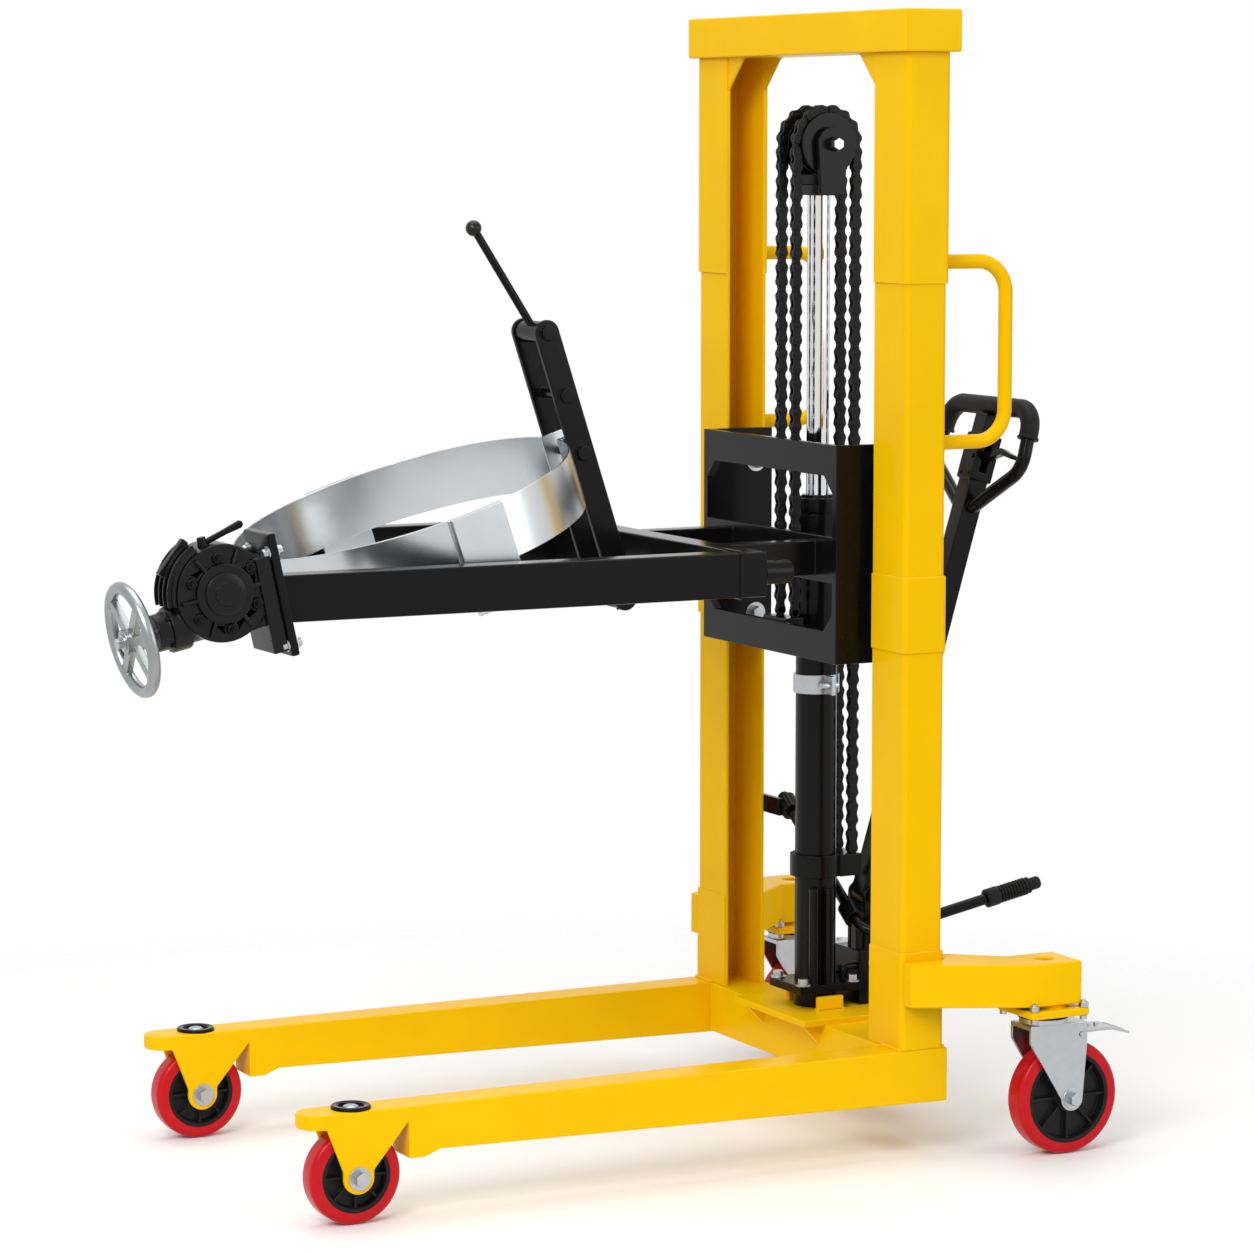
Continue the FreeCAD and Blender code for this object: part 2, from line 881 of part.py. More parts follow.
sheave_face = chain_offset - sheave_width / 2
yoke_inner = chain_offset + sheave_width / 2 + 3.0
yoke_outer = yoke_inner + yoke_wall


def sheave_yoke():
    """Fork on top of the rod: foot block, two cheeks and the sheave pin."""
    foot_low = sheave_z - sheave_radius - 30.0
    foot_high = sheave_z - sheave_radius - 12.0
    pieces = [block((-24.0, 24.0), (-yoke_outer, yoke_outer), (foot_low, foot_high))]
    for side in (-yoke_outer, yoke_inner):
        cheek = [
            point(-24.0, side, foot_low),
            point(-30.0, side, sheave_z),
            point(30.0, side, sheave_z),
            point(24.0, side, foot_low),
        ]
        pieces.append(prism(cheek, Y_AXIS * yoke_wall))
        centre = point(0, side, sheave_z)
        pieces.append(round_bar(centre, centre.add(Y_AXIS * yoke_wall), 30.0))
    pin_reach = yoke_outer + 9.0
    pieces.append(round_bar(point(0, -pin_reach, sheave_z), point(0, pin_reach, sheave_z), sheave_pin_radius))
    return joined(pieces)


def sheaves():
    """Twin grooved sheaves on one sleeve."""
    chord = math.sqrt(sheave_radius ** 2 - (chain_pitch / 2) ** 2)
    groove = chord - chain_plate_height / 2 - gap_clearance
    bore = sheave_pin_radius + running_clearance
    half = sheave_width / 2
    pieces = [pipe_piece(point(0, -yoke_inner + 1.0, 0), point(0, yoke_inner - 1.0, 0), 22.0, bore)]
    for side in (-chain_offset, chain_offset):
        track = chain_inner_width / 2 + chain_plate_thickness + 0.8
        outline = [
            point(bore, side - half, 0),
            point(groove + 6.0, side - half, 0),
            point(groove + 6.0, side - track, 0),
            point(groove, side - track, 0),
            point(groove, side + track, 0),
            point(groove + 6.0, side + track, 0),
            point(groove + 6.0, side + half, 0),
            point(bore, side + half, 0),
        ]
        pieces.append(turned(outline, ORIGIN, Y_AXIS))
    whole = joined(pieces)
    whole.translate(Z_AXIS * sheave_z)
    return whole


def chain_link(wide):
    """One link along +X from its first pin: a middle plate, or a pair of outer plates."""
    half = chain_plate_height / 2
    outline = [
        point(-link_end, 0, 0),
        point(0, 0, half),
        point(chain_pitch, 0, half),
        point(chain_pitch + link_end, 0, 0),
        point(chain_pitch, 0, -half),
        point(0, 0, -half),
    ]
    narrow_half = chain_inner_width / 2
    if wide:
        plates = []
        for y in (narrow_half, -narrow_half - chain_plate_thickness):
            plate = prism(outline, Y_AXIS * chain_plate_thickness)
            plate.translate(Y_AXIS * y)
            plates.append(plate)
        return plates
    plate = prism(outline, Y_AXIS * chain_inner_width)
    plate.translate(Y_AXIS * -narrow_half)
    return [plate]


def straight_chain(x, count):
    """Both chains hanging straight at x, links counted down from the sheave."""
    links = []
    for y in (-chain_offset, chain_offset):
        for index in range(count):
            for plate in chain_link(index % 2 == 0):
                plate.rotate(ORIGIN, Y_AXIS, 90)
                plate.translate(point(x, y, run_top - index * chain_pitch))
                links.append(plate)
    return Part.makeCompound(links)


def wrapped_chain():
    """Both chains over the top of the sheaves, in chords of one pitch."""
    links = []
    step = 2 * math.asin(chain_pitch / 2 / sheave_radius)
    count = int((math.pi - 0.6) / step)
    first = math.pi / 2 + count * step / 2
    for y in (-chain_offset, chain_offset):
        for index in range(count):
            start = first - index * step
            slope = math.degrees(start - step / 2 - math.pi / 2)
            for plate in chain_link(index % 2 == 0):
                plate.rotate(ORIGIN, Y_AXIS, -slope)
                plate.translate(
                    point(sheave_radius * math.cos(start), y, sheave_z + sheave_radius * math.sin(start))
                )
                links.append(plate)
    return Part.makeCompound(links)


def chain_anchor():
    """Bracket on the barrel that holds the chains' fixed ends."""
    low = anchor_top - anchor_height
    width = chain_offset + 16.0
    ring = round_bar(point(0, 0, low), point(0, 0, anchor_top), barrel_radius + 9.0)
    lug = block((barrel_radius - 10.0, sheave_radius + 12.0), (-width, width), (low, anchor_top))
    whole = joined([ring, lug])
    return whole.cut(round_bar(point(0, 0, low), point(0, 0, anchor_top), barrel_radius))


keep("sheave_yoke", sheave_yoke())
keep("chain_sheaves", sheaves())
keep("chain_wrap", wrapped_chain())
keep("chain_anchor", chain_anchor())
keep("chain_anchor_run", straight_chain(sheave_radius, anchor_links))
keep("chain_lift_run", straight_chain(-sheave_radius, lift_links))


# Carriage

def roller_heights():
    return (arm_z - roller_offset, arm_z + roller_offset)


def carriage_frame():
    """Side plates with roller pins, three cross plates and the chain lug."""
    outer = side_plate_outer
    inner = outer - side_plate_thickness
    front = cross_plate_x - cross_plate_thickness
    pieces = []
    for side in (-1, 1):
        limits = sorted((side * inner, side * outer))
        pieces.append(block((front, half_depth - column_wall), limits, (carriage_bottom, carriage_top)))
        for z in roller_heights():
            pieces.append(round_bar(
                point(0, side * inner, z),
                point(0, side * (column_outer - column_wall - pin_end_gap), z),
                roller_pin_radius,
            ))
    bars = (
        (carriage_bottom, cross_bar_height),
        (arm_z - cross_plate_height / 2, cross_plate_height),
        (carriage_top - cross_bar_height, cross_bar_height),
    )
    for z, height in bars:
        pieces.append(block((front, cross_plate_x), (-inner, inner), (z, z + height)))
    for side in (-1, 1):
        for z, up in ((carriage_bottom + cross_bar_height, 1), (carriage_top - cross_bar_height, -1)):
            fillet = [
                point(front, side * inner, z),
                point(front, side * (inner - window_corner), z),
                point(front, side * inner, z + up * window_corner),
            ]
            pieces.append(prism(fillet, X_AXIS * cross_plate_thickness))
    width = chain_offset + 16.0
    pieces.append(block(
        (cross_plate_x, -sheave_radius + 10.0),
        (-width, width),
        (lift_anchor_top - anchor_height, lift_anchor_top),
    ))
    return joined(pieces)


def guide_roller(side, z):
    """Grooved steel roller on its pin, running inside a column."""
    middle = side * (column_inner + column_outer - column_wall) / 2
    bore = roller_pin_radius + running_clearance
    half = roller_width / 2
    outline = [
        point(bore, -half, 0),
        point(roller_radius - 8.0, -half, 0),
        point(roller_radius, -half + 4.0, 0),
        point(roller_radius, half - 4.0, 0),
        point(roller_radius - 8.0, half, 0),
        point(bore, half, 0),
    ]
    wheel = turned(outline, ORIGIN, Y_AXIS)
    wheel.translate(point(0, middle, z))
    return wheel


def box_tube(x, y, z, wall):
    """A closed box section with its walls."""
    outer = block(x, y, z)
    inner = block(
        (x[0] + wall, x[1] - wall), (y[0] + wall, y[1] - wall), (z[0] + wall, z[1] - wall)
    )
    return outer.cut(inner)


def yoke_beam():
    """Two forward beams and the wide cross-beam, with the socketed stub behind its near end."""
    low = arm_z - arm_height / 2
    high = arm_z + arm_height / 2
    rear = yoke_front_x + yoke_width
    reach = arm_y + arm_width / 2
    pieces = [box_tube((yoke_front_x, rear), (-reach, reach), (low, high), arm_wall)]
    for y in (-beam_offset, beam_offset):
        pieces.append(box_tube(
            (rear, cross_plate_x - cross_plate_thickness),
            (y - beam_width / 2, y + beam_width / 2),
            (arm_z - beam_height / 2, arm_z + beam_height / 2),
            arm_wall,
        ))
    start = point(rear, -arm_y, arm_z)
    pieces.append(round_bar(start, start.add(X_AXIS * stub_length), stub_radius))
    whole = joined(pieces)
    end = start.add(X_AXIS * stub_length)
    return whole.cut(round_bar(end.sub(X_AXIS * stub_bore_depth), end, stub_bore))


def arm_tube(front):
    """Box-section arm on the -Y side, from the cross-beam forward."""
    return box_tube(
        (front, yoke_front_x),
        (-arm_y - arm_width / 2, -arm_y + arm_width / 2),
        (arm_z - arm_height / 2, arm_z + arm_height / 2),
        arm_wall,
    )


def trunnion_bush():
    """Bearing bush on an arm's inner wall."""
    face = -arm_y + arm_width / 2
    return round_bar(
        point(trunnion_x, face - arm_wall, trunnion_z),
        point(trunnion_x, face + bush_length, trunnion_z),
        bush_radius,
    )


def trunnion_bore():
    face = -arm_y + arm_width / 2
    return round_bar(
        point(trunnion_x, face - arm_wall, trunnion_z),
        point(trunnion_x, face + bush_length, trunnion_z),
        trunnion_radius + running_clearance,
    )


def slanted(shape):
    """Turn a gearbox piece from its own square frame to its place on the arm's end."""
    turned_shape = shape.copy()
    turned_shape.rotate(ORIGIN, Y_AXIS, -gear_slant)
    turned_shape.translate(point(gear_x, -arm_y, arm_z))
    return turned_shape


def mount_plate():
    return slanted(block(
        (-mount_plate_thickness, 0),
        (-mount_plate_half_width, mount_plate_half_width),
        (-mount_plate_down, mount_plate_up),
    ))


shaft_front = point(gear_x - shaft_lead, -arm_y, shaft_z)
shaft_rear = point(trunnion_x + worm_length / 2 + shaft_block + 4.0, -arm_y, shaft_z)


def near_arm():
    """Arm with its slanted end plate, trunnion bush and drive-shaft bearing."""
    beyond = 2 * (mount_plate_up + mount_plate_down)
    ahead = slanted(block((-beyond, 0), (-beyond, beyond), (-beyond, beyond)))
    tube = arm_tube(gear_x - shaft_lead).cut(ahead)
    bearing_x = trunnion_x + worm_length / 2 + 2.0
    inside = arm_width / 2 - arm_wall
    bearing = block(
        (bearing_x, bearing_x + shaft_block),
        (-arm_y - inside, -arm_y + inside),
        (shaft_z - 12.0, arm_z + arm_height / 2 - arm_wall),
    )
    whole = joined([tube, mount_plate(), trunnion_bush(), bearing])
    shaft_hole = round_bar(shaft_front, shaft_rear, drive_shaft_radius + running_clearance)
    return whole.cut(trunnion_bore()).cut(shaft_hole)


def far_arm():
    """Shorter arm with its trunnion bush."""
    return mirrored(joined([arm_tube(far_arm_end), trunnion_bush()]).cut(trunnion_bore()))


keep("carriage_frame", carriage_frame())
roller_names = ("lower", "upper")
for label, height in zip(roller_names, roller_heights()):
    keep("near_" + label + "_roller", guide_roller(-1, height))
    keep("far_" + label + "_roller", guide_roller(1, height))
keep("yoke_beam", yoke_beam())
keep("near_arm", near_arm())
keep("far_arm", far_arm())


# Tilt drive

def gearbox_case():
    """Cast case: foot flange, round wheel chamber and input neck."""
    foot_front = -mount_plate_thickness - foot_thickness
    pieces = [
        block(
            (foot_front, -mount_plate_thickness),
            (-foot_half_width, foot_half_width),
            (-foot_half_height, foot_half_height),
        ),
        block(
            (case_x, foot_front),
            (-bridge_half_width, bridge_half_width),
            (neck_z - neck_radius, case_z + case_radius - bridge_drop),
        ),
        round_bar(point(case_x, -case_half_width, case_z), point(case_x, case_half_width, case_z), case_radius),
        round_bar(point(case_x, 0, neck_z), point(neck_front, 0, neck_z), neck_radius),
        round_bar(
            point(case_x - neck_root, 0, neck_z), point(neck_front + neck_tip, 0, neck_z), neck_radius + neck_flange
        ),
    ]
    for side in (-case_half_width - case_boss, case_half_width):
        boss = point(case_x, side, case_z)
        pieces.append(round_bar(boss, boss.add(Y_AXIS * case_boss), case_radius * case_boss_share))
        for index in range(case_bolts):
            turn = 2 * math.pi * (index + 0.5) / case_bolts
            lug = boss.add(point(bolt_circle * math.cos(turn), 0, bolt_circle * math.sin(turn)))
            pieces.append(round_bar(lug, lug.add(Y_AXIS * case_boss), bolt_lug))
    whole = slanted(joined(pieces))
    input_hole = slanted(round_bar(
        point(neck_front + input_seat, 0, neck_z),
        point(neck_front, 0, neck_z),
        input_radius + running_clearance,
    ))
    shaft_hole = round_bar(
        shaft_front, shaft_front.add(X_AXIS * shaft_lead * 2), drive_shaft_radius + running_clearance
    )
    return whole.cut(input_hole).cut(shaft_hole)


def gearbox_cover():
    """Ribbed cover over the front and top of the wheel chamber, with its short lever bar."""
    outer = case_radius + cover_thickness
    shell = pipe_piece(
        point(0, -case_half_width + 4.0, 0), point(0, case_half_width - 4.0, 0), outer, case_radius + 0.2
    )
    pieces = [shell]
    spacing = (2 * case_half_width - 24.0) / (cover_rib_count - 1)
    for index in range(cover_rib_count):
        y = -case_half_width + 12.0 + index * spacing
        pieces.append(pipe_piece(point(0, y - 2.5, 0), point(0, y + 2.5, 0), outer + cover_rib, outer - 1.0))
    whole = joined(pieces)
    rear_half = block((0, 2 * outer), (-outer, outer), (-2 * outer, 2 * outer))
    rear_half.rotate(ORIGIN, Y_AXIS, -cover_turn)
    low = neck_z + neck_radius + neck_flange + gap_clearance - case_z
    neck_side = block((-2 * outer, 2 * outer), (-outer, outer), (-2 * outer, low))
    whole = whole.cut(rear_half).cut(neck_side)
    top = outer + cover_rib - 3.0
    bar = block((-34.0, 34.0), (-7.0, 7.0), (top - 4.0, top + 8.0))
    bar.rotate(ORIGIN, Y_AXIS, -40.0)
    whole = joined([whole, bar])
    whole.translate(point(case_x, 0, case_z))
    return slanted(whole)


def handwheel():
    """Round rim, flat spokes and hub on the input shaft."""
    section = []
    for index in range(bar_flats):
        turn = 2 * math.pi * (index + 0.5) / bar_flats
        rise = handwheel_radius + handwheel_rim * math.sin(turn)
        section.append(point(handwheel_rim * math.cos(turn), 0, rise))
    rim = turned(section, ORIGIN, X_AXIS)
    pieces = [rim, round_bar(point(hub_front, 0, 0), point(hub_rear, 0, 0), handwheel_hub)]
    for index in range(spoke_count):
        spoke = block(
            (-spoke_depth / 2, spoke_depth / 2),
            (-spoke_width / 2, spoke_width / 2),
            (input_radius + 1.0, handwheel_radius),
        )
        spoke.rotate(ORIGIN, X_AXIS, 45.0 + 360.0 / spoke_count * index)
        pieces.append(spoke)
    whole = joined(pieces)
    whole = whole.cut(round_bar(point(input_end, 0, 0), point(hub_rear, 0, 0), input_radius))
    whole.translate(point(wheel_centre, 0, neck_z))
    return slanted(whole)


def input_shaft():
    """Input shaft from the handwheel into the case's neck."""
    return slanted(round_bar(
        point(wheel_centre + input_end, 0, neck_z),
        point(neck_front + input_seat - 2.0, 0, neck_z),
        input_radius,
    ))


def drive_shaft():
    """Shaft inside the near arm, with its worm over the trunnion."""
    start = shaft_front.add(X_AXIS * 2.0)
    shaft = round_bar(start, shaft_rear, drive_shaft_radius)
    worm_start = point(trunnion_x - worm_length / 2, -arm_y, shaft_z)
    worm = round_bar(worm_start, worm_start.add(X_AXIS * worm_length), worm_radius - gap_clearance - 1.0)
    return joined([shaft, worm])


def toothed_wheel():
    """Worm wheel with straight teeth, about Y."""
    outer = worm_wheel_pitch + worm_wheel_module / 2
    root = worm_wheel_pitch - worm_wheel_module * 1.2
    corners = []
    step = 2 * math.pi / worm_wheel_teeth
    for index in range(worm_wheel_teeth):
        for share, radius in ((0.02, root), (0.25, outer), (0.45, outer), (0.68, root)):
            angle = (index + share) * step
            corners.append(point(radius * math.cos(angle), -worm_wheel_width / 2, radius * math.sin(angle)))
    return prism(corners, Y_AXIS * worm_wheel_width)


def trunnion_shafts():
    """Near trunnion with its worm wheel inside the arm, and the plain far trunnion."""
    inner = -ring_outer - trunnion_plate_thickness
    outer = -arm_y - arm_width / 2 + arm_wall + 2.0
    near = round_bar(point(0, inner, 0), point(0, outer, 0), trunnion_radius)
    wheel = toothed_wheel()
    wheel.translate(Y_AXIS * -arm_y)
    far_end = arm_y + arm_width / 2 - arm_wall - 2.0
    far = round_bar(point(0, -inner, 0), point(0, far_end, 0), trunnion_radius)
    pair = Part.makeCompound([joined([near, wheel]), far])
    pair.translate(point(trunnion_x, 0, trunnion_z))
    return pair


keep("gearbox_case", gearbox_case())
keep("gearbox_cover", gearbox_cover())
keep("handwheel", handwheel())
keep("input_shaft", input_shaft())
keep("drive_shaft", drive_shaft())
keep("trunnion_shafts", trunnion_shafts())


# Band clamp

def leaned(shape):
    """Turn a clamp piece from upright to its resting lean, at the trunnions."""
    placed = shape.copy()
    placed.rotate(ORIGIN, Y_AXIS, -clamp_lean)
    placed.translate(point(trunnion_x, 0, trunnion_z))
    return placed


band_low = band_offset - band_height / 2
band_high = band_offset + band_height / 2
bar_inner_x = ring_outer + bar_standoff
bar_outer_x = bar_inner_x + bar_width
bar_y = rear_split / 2 + lug_thickness


def half_band():
    """Half of the band on the -Y side, with its front lug, rear lug and trunnion plate."""
    ring = pipe_piece(point(0, 0, band_low), point(0, 0, band_high), ring_outer, ring_inner)
    beyond = 2 * ring_outer
    ring = ring.cut(block((-beyond, 0), (-front_split / 2, beyond), (band_low, band_high)))
    ring = ring.cut(block((0, beyond), (-rear_split / 2, beyond), (band_low, band_high)))
    lug_low = band_offset - lug_height / 2
    lug_high = band_offset + lug_height / 2
    front = block(
        (-ring_outer - front_lug_reach, -ring_inner + 1.0),
        (-front_split / 2 - lug_thickness, -front_split / 2),
        (lug_low, lug_high),
    )
    rear = block(
        (ring_inner - 4.0, bar_outer_x),
        (-rear_split / 2 - lug_thickness, -rear_split / 2),
        (band_low, band_high),
    )
    plate = block(
        (-trunnion_plate_width / 2, trunnion_plate_width / 2),
        (-ring_outer - trunnion_plate_thickness, -ring_outer + 14.0),
        (-trunnion_plate_drop, band_high),
    )
    inside = round_bar(point(0, 0, -trunnion_plate_drop), point(0, 0, band_high), ring_inner)
    outside = block(
        (-trunnion_plate_width / 2, trunnion_plate_width / 2),
        (-ring_outer, -ring_outer + 14.0),
        (-trunnion_plate_drop, band_low),
    )
    whole = joined([ring, front, rear, plate.cut(outside)]).cut(inside)
    for height in bar_pin_heights:
        whole = whole.cut(round_bar(
            point((bar_inner_x + bar_outer_x) / 2, -beyond, height),
            point((bar_inner_x + bar_outer_x) / 2, beyond, height),
            bar_pin_radius,
        ))
    return whole


def clamp_bars():
    """Twin bars behind the ring, tied by three headed pins and a foot block."""
    pieces = []
    middle = (bar_inner_x + bar_outer_x) / 2
    for side in (-bar_y - bar_thickness, bar_y):
        pieces.append(block(
            (bar_inner_x, bar_outer_x),
            (side, side + bar_thickness),
            (bar_bottom + bar_width / 2, bar_top - bar_width / 2),
        ))
        for height in (bar_bottom + bar_width / 2, bar_top - bar_width / 2):
            end = point(middle, side, height)
            pieces.append(round_bar(end, end.add(Y_AXIS * bar_thickness), bar_width / 2))
    reach = bar_y + bar_thickness + pin_head_height
    for height in bar_pin_heights:
        pieces.append(round_bar(point(middle, -reach, height), point(middle, reach, height), bar_pin_radius))
        for side in (-reach, reach - pin_head_height):
            face = point(middle, side, height)
            pieces.append(round_bar(face, face.add(Y_AXIS * pin_head_height), pin_head_radius))
    pieces.append(block(
        (bar_inner_x + 6.0, bar_outer_x - 6.0), (-bar_y, bar_y), (bar_bottom + 8.0, bar_bottom + 48.0)
    ))
    return leaned(joined(pieces))


def clamp_lever():
    """Cam on the top pin with its hand lever."""
    middle = (bar_inner_x + bar_outer_x) / 2
    height = bar_pin_heights[0]
    half = bar_y - 2.0
    cam = round_bar(point(0, -half, 0), point(0, half, 0), cam_radius)
    stem = round_bar(point(0, 0, cam_radius - 6.0), point(0, 0, lever_length), lever_stem)
    whole = joined([cam, stem])
    whole = whole.cut(round_bar(point(0, -half, 0), point(0, half, 0), bar_pin_radius + running_clearance))
    whole.rotate(ORIGIN, Y_AXIS, -lever_lean)
    whole.translate(point(middle, 0, height))
    return leaned(whole)


def lever_knob():
    """Round knob on the end of the hand lever, its foot flat on the stem."""
    middle = (bar_inner_x + bar_outer_x) / 2
    centre = lever_length + knob_radius - knob_foot
    low_turn = math.asin((knob_foot - knob_radius) / knob_radius)
    outline = [point(0, 0, lever_length)]
    for index in range(knob_steps + 1):
        turn = low_turn + (math.pi / 2 - low_turn) * index / knob_steps
        outline.append(point(knob_radius * math.cos(turn), 0, centre + knob_radius * math.sin(turn)))
    outline[-1] = point(0, 0, centre + knob_radius)
    knob = turned(outline, ORIGIN, Z_AXIS)
    knob.rotate(ORIGIN, Y_AXIS, -lever_lean)
    knob.translate(point(middle, 0, bar_pin_heights[0]))
    return leaned(knob)


keep("near_half_band", leaned(half_band()))
keep("far_half_band", leaned(mirrored(half_band())))
keep("clamp_bars", clamp_bars())
keep("clamp_lever", clamp_lever())
keep("lever_knob", lever_knob())


# Pump, its handle and the foot pedal

pump_top = base_plate_top + pump_height
plunger_x = handle_pivot_x + plunger_offset
plunger_top = handle_pivot_z - heel_radius - gap_clearance
guide_top = plunger_top - plunger_head_height - plunger_stroke - 4.0


def pedal_points():
    return [point(*pedal_top), point(*pedal_bend), point(*pedal_end)]


def pedal_axis():
    top, bend, _ = pedal_points()
    return bend.sub(top).normalize()


def pump_body():
    """Pump block with the handle's clevis, the plunger guide and the valve collar's post."""
    pieces = [block((pump_front, pump_rear), (-pump_half_width, pump_half_width), (base_plate_top, pump_top))]
    for side in (-clevis_half_gap - clevis_wall, clevis_half_gap):
        pieces.append(block(
            (handle_pivot_x - clevis_radius, handle_pivot_x + clevis_radius),
            (side, side + clevis_wall),
            (pump_top, handle_pivot_z),
        ))
        eye = point(handle_pivot_x, side, handle_pivot_z)
        pieces.append(round_bar(eye, eye.add(Y_AXIS * clevis_wall), clevis_radius))
    guide_low = point(plunger_x, 0, pump_top)
    pieces.append(round_bar(guide_low, point(plunger_x, 0, guide_top), plunger_guide_radius))
    whole = joined(pieces)
    pivot = round_bar(
        point(handle_pivot_x, -pump_half_width, handle_pivot_z),
        point(handle_pivot_x, pump_half_width, handle_pivot_z),
        handle_pin_radius + running_clearance,
    )
    plunger_low = guide_top - plunger_stroke - 44.0
    guide = round_bar(
        point(plunger_x, 0, plunger_low), point(plunger_x, 0, guide_top), plunger_radius + running_clearance
    )
    return whole.cut(pivot).cut(guide)


def pump_plunger():
    """Plunger with its head, under the handle's heel."""
    low = guide_top - plunger_stroke / 2 - 8.0
    return joined([
        round_bar(point(plunger_x, 0, low), point(plunger_x, 0, plunger_top), plunger_radius),
        round_bar(
            point(plunger_x, 0, plunger_top - plunger_head_height),
            point(plunger_x, 0, plunger_top),
            plunger_head,
        ),
    ])


def pressure_pipe():
    """Short pipe from the pump block to the cylinder's flange."""
    y = -pump_half_width + 12.0
    start = point(pump_front, y, base_plate_top + pipe_height)
    corners = [
        start,
        point(flange_half_x - pipe_inset, y, base_plate_top + pipe_height),
        point(flange_half_x - pipe_inset, y, barrel_bottom),
    ]
    return swept_bar(corners, pipe_bend, pipe_radius)


def handle_leaned(shape):
    """Turn a handle piece from upright to its resting lean about the pivot."""
    placed = shape.copy()
    placed.rotate(ORIGIN, Y_AXIS, handle_lean)
    placed.translate(point(handle_pivot_x, 0, handle_pivot_z))
    return placed


loop_base = handle_length - loop_height
trigger_y = -handle_bar_width / 2 + 6.0
trigger_z = loop_base + trigger_rise


def loop_corners():
    """The loop's outline, from the bar out and up to the cross bar and back."""
    edge = handle_bar_width / 2
    return [
        point(0, -edge, loop_base),
        point(0, -loop_half_width, loop_base + loop_height * 0.42),
        point(0, -loop_half_width + 12.0, handle_length),
        point(0, loop_half_width - 12.0, handle_length),
        point(0, loop_half_width, loop_base + loop_height * 0.42),
        point(0, edge, loop_base),
    ]


def pump_handle():
    """Box bar with its hub and heel, collar block and D-shaped loop."""
    half = handle_bar_depth / 2
    edge = handle_bar_width / 2
    hub_half = clevis_half_gap - 1.0
    pieces = [
        block((-half, half), (-edge, edge), (0, handle_length - grip_radius)),
        block(
            (-half - collar_step, half + collar_step),
            (-edge - collar_step, edge + collar_step),
            (loop_base + collar_low, loop_base + collar_high),
        ),
        round_bar(point(0, -hub_half, 0), point(0, hub_half, 0), clevis_radius - 1.0),
        swept_bar(loop_corners(), loop_bend, loop_radius),
    ]
    bar = joined(pieces)
    slot = trigger_thickness / 2 + gap_clearance
    bar = bar.cut(block(
        (-slot, slot),
        (-edge - collar_step, trigger_y + trigger_boss + 2.0),
        (trigger_z - trigger_slot_down, trigger_z + trigger_slot_up),
    ))
    bar = bar.cut(block(
        (-half + handle_wall, half - handle_wall),
        (-edge + handle_wall, edge - handle_wall),
        (clevis_radius + handle_wall, loop_base - loop_bend),
    ))
    bar = bar.cut(round_bar(
        point(-2 * half, trigger_y, trigger_z), point(2 * half, trigger_y, trigger_z),
        trigger_pin_radius + running_clearance,
    ))
    heel = round_bar(point(plunger_offset, -9.0, 0), point(plunger_offset, 9.0, 0), heel_radius)
    heel = joined([heel, block((0, plunger_offset), (-9.0, 9.0), (-heel_radius, heel_radius))])
    heel.rotate(ORIGIN, Y_AXIS, -handle_lean)
    pin_reach = clevis_half_gap + clevis_wall + 5.0
    pin = round_bar(point(0, -pin_reach, 0), point(0, pin_reach, 0), handle_pin_radius)
    return handle_leaned(joined([bar, heel, pin]))


def handle_grips():
    """Rubber sleeve over the top of the loop and round its two corners."""
    corners = loop_corners()
    left = corners[2].sub((corners[2].sub(corners[1])) * grip_bend_share)
    right = corners[3].sub((corners[3].sub(corners[4])) * grip_bend_share)
    path = [left, corners[2], corners[3], right]
    sleeve = swept_bar(path, loop_bend, grip_radius).cut(swept_bar(path, loop_bend, loop_radius))
    return handle_leaned(sleeve)


def release_lever():
    """Small lever on a pin in the collar's slot, reaching out to the loop's side."""
    half = trigger_thickness / 2
    tip = trigger_y - trigger_length
    outline = [
        point(-half, trigger_y, trigger_z - trigger_boss),
        point(-half, trigger_y - trigger_length * 0.6, trigger_z + 10.0),
        point(-half, tip, trigger_z + 4.0),
        point(-half, tip, trigger_z + 12.0),
        point(-half, trigger_y - trigger_length * 0.6, trigger_z + 22.0),
        point(-half, trigger_y, trigger_z + trigger_boss),
    ]
    reach = handle_bar_depth / 2 + collar_step + 3.0
    lever = joined([
        prism(outline, X_AXIS * trigger_thickness),
        round_bar(point(-half, trigger_y, trigger_z), point(half, trigger_y, trigger_z), trigger_boss),
        round_bar(point(-reach, trigger_y, trigger_z), point(reach, trigger_y, trigger_z), trigger_pin_radius),
    ])
    return handle_leaned(lever)


def foot_pedal():
    """Bent pedal rod: its upper run is the turning shaft, its lower run the foot arm."""
    corners = pedal_points()
    return swept_round(corners, pedal_bend_radius, pedal_radius)


def pedal_grip():
    """Ribbed rubber grip on the pedal's end."""
    _, bend, end = pedal_points()
    along = end.sub(bend).normalize()
    start = end.sub(along * (pedal_grip_length - pedal_grip_end))
    rib = pedal_grip_length / (2 * pedal_ribs + 1)
    outline = [point(0, pedal_radius, 0)]
    for index in range(2 * pedal_ribs + 1):
        radius = pedal_grip_radius if index % 2 == 0 else pedal_grip_radius - pedal_rib_depth
        outline.append(point(0, radius, index * rib))
        outline.append(point(0, radius, (index + 1) * rib))
    outline.append(point(0, 0, pedal_grip_length))
    outline.append(point(0, 0, pedal_grip_length - pedal_grip_end))
    outline.append(point(0, pedal_radius, pedal_grip_length - pedal_grip_end))
    sleeve = turned(outline, ORIGIN, Z_AXIS)
    sleeve.Placement = FreeCAD.Placement(start, FreeCAD.Rotation(Z_AXIS, along))
    return sleeve


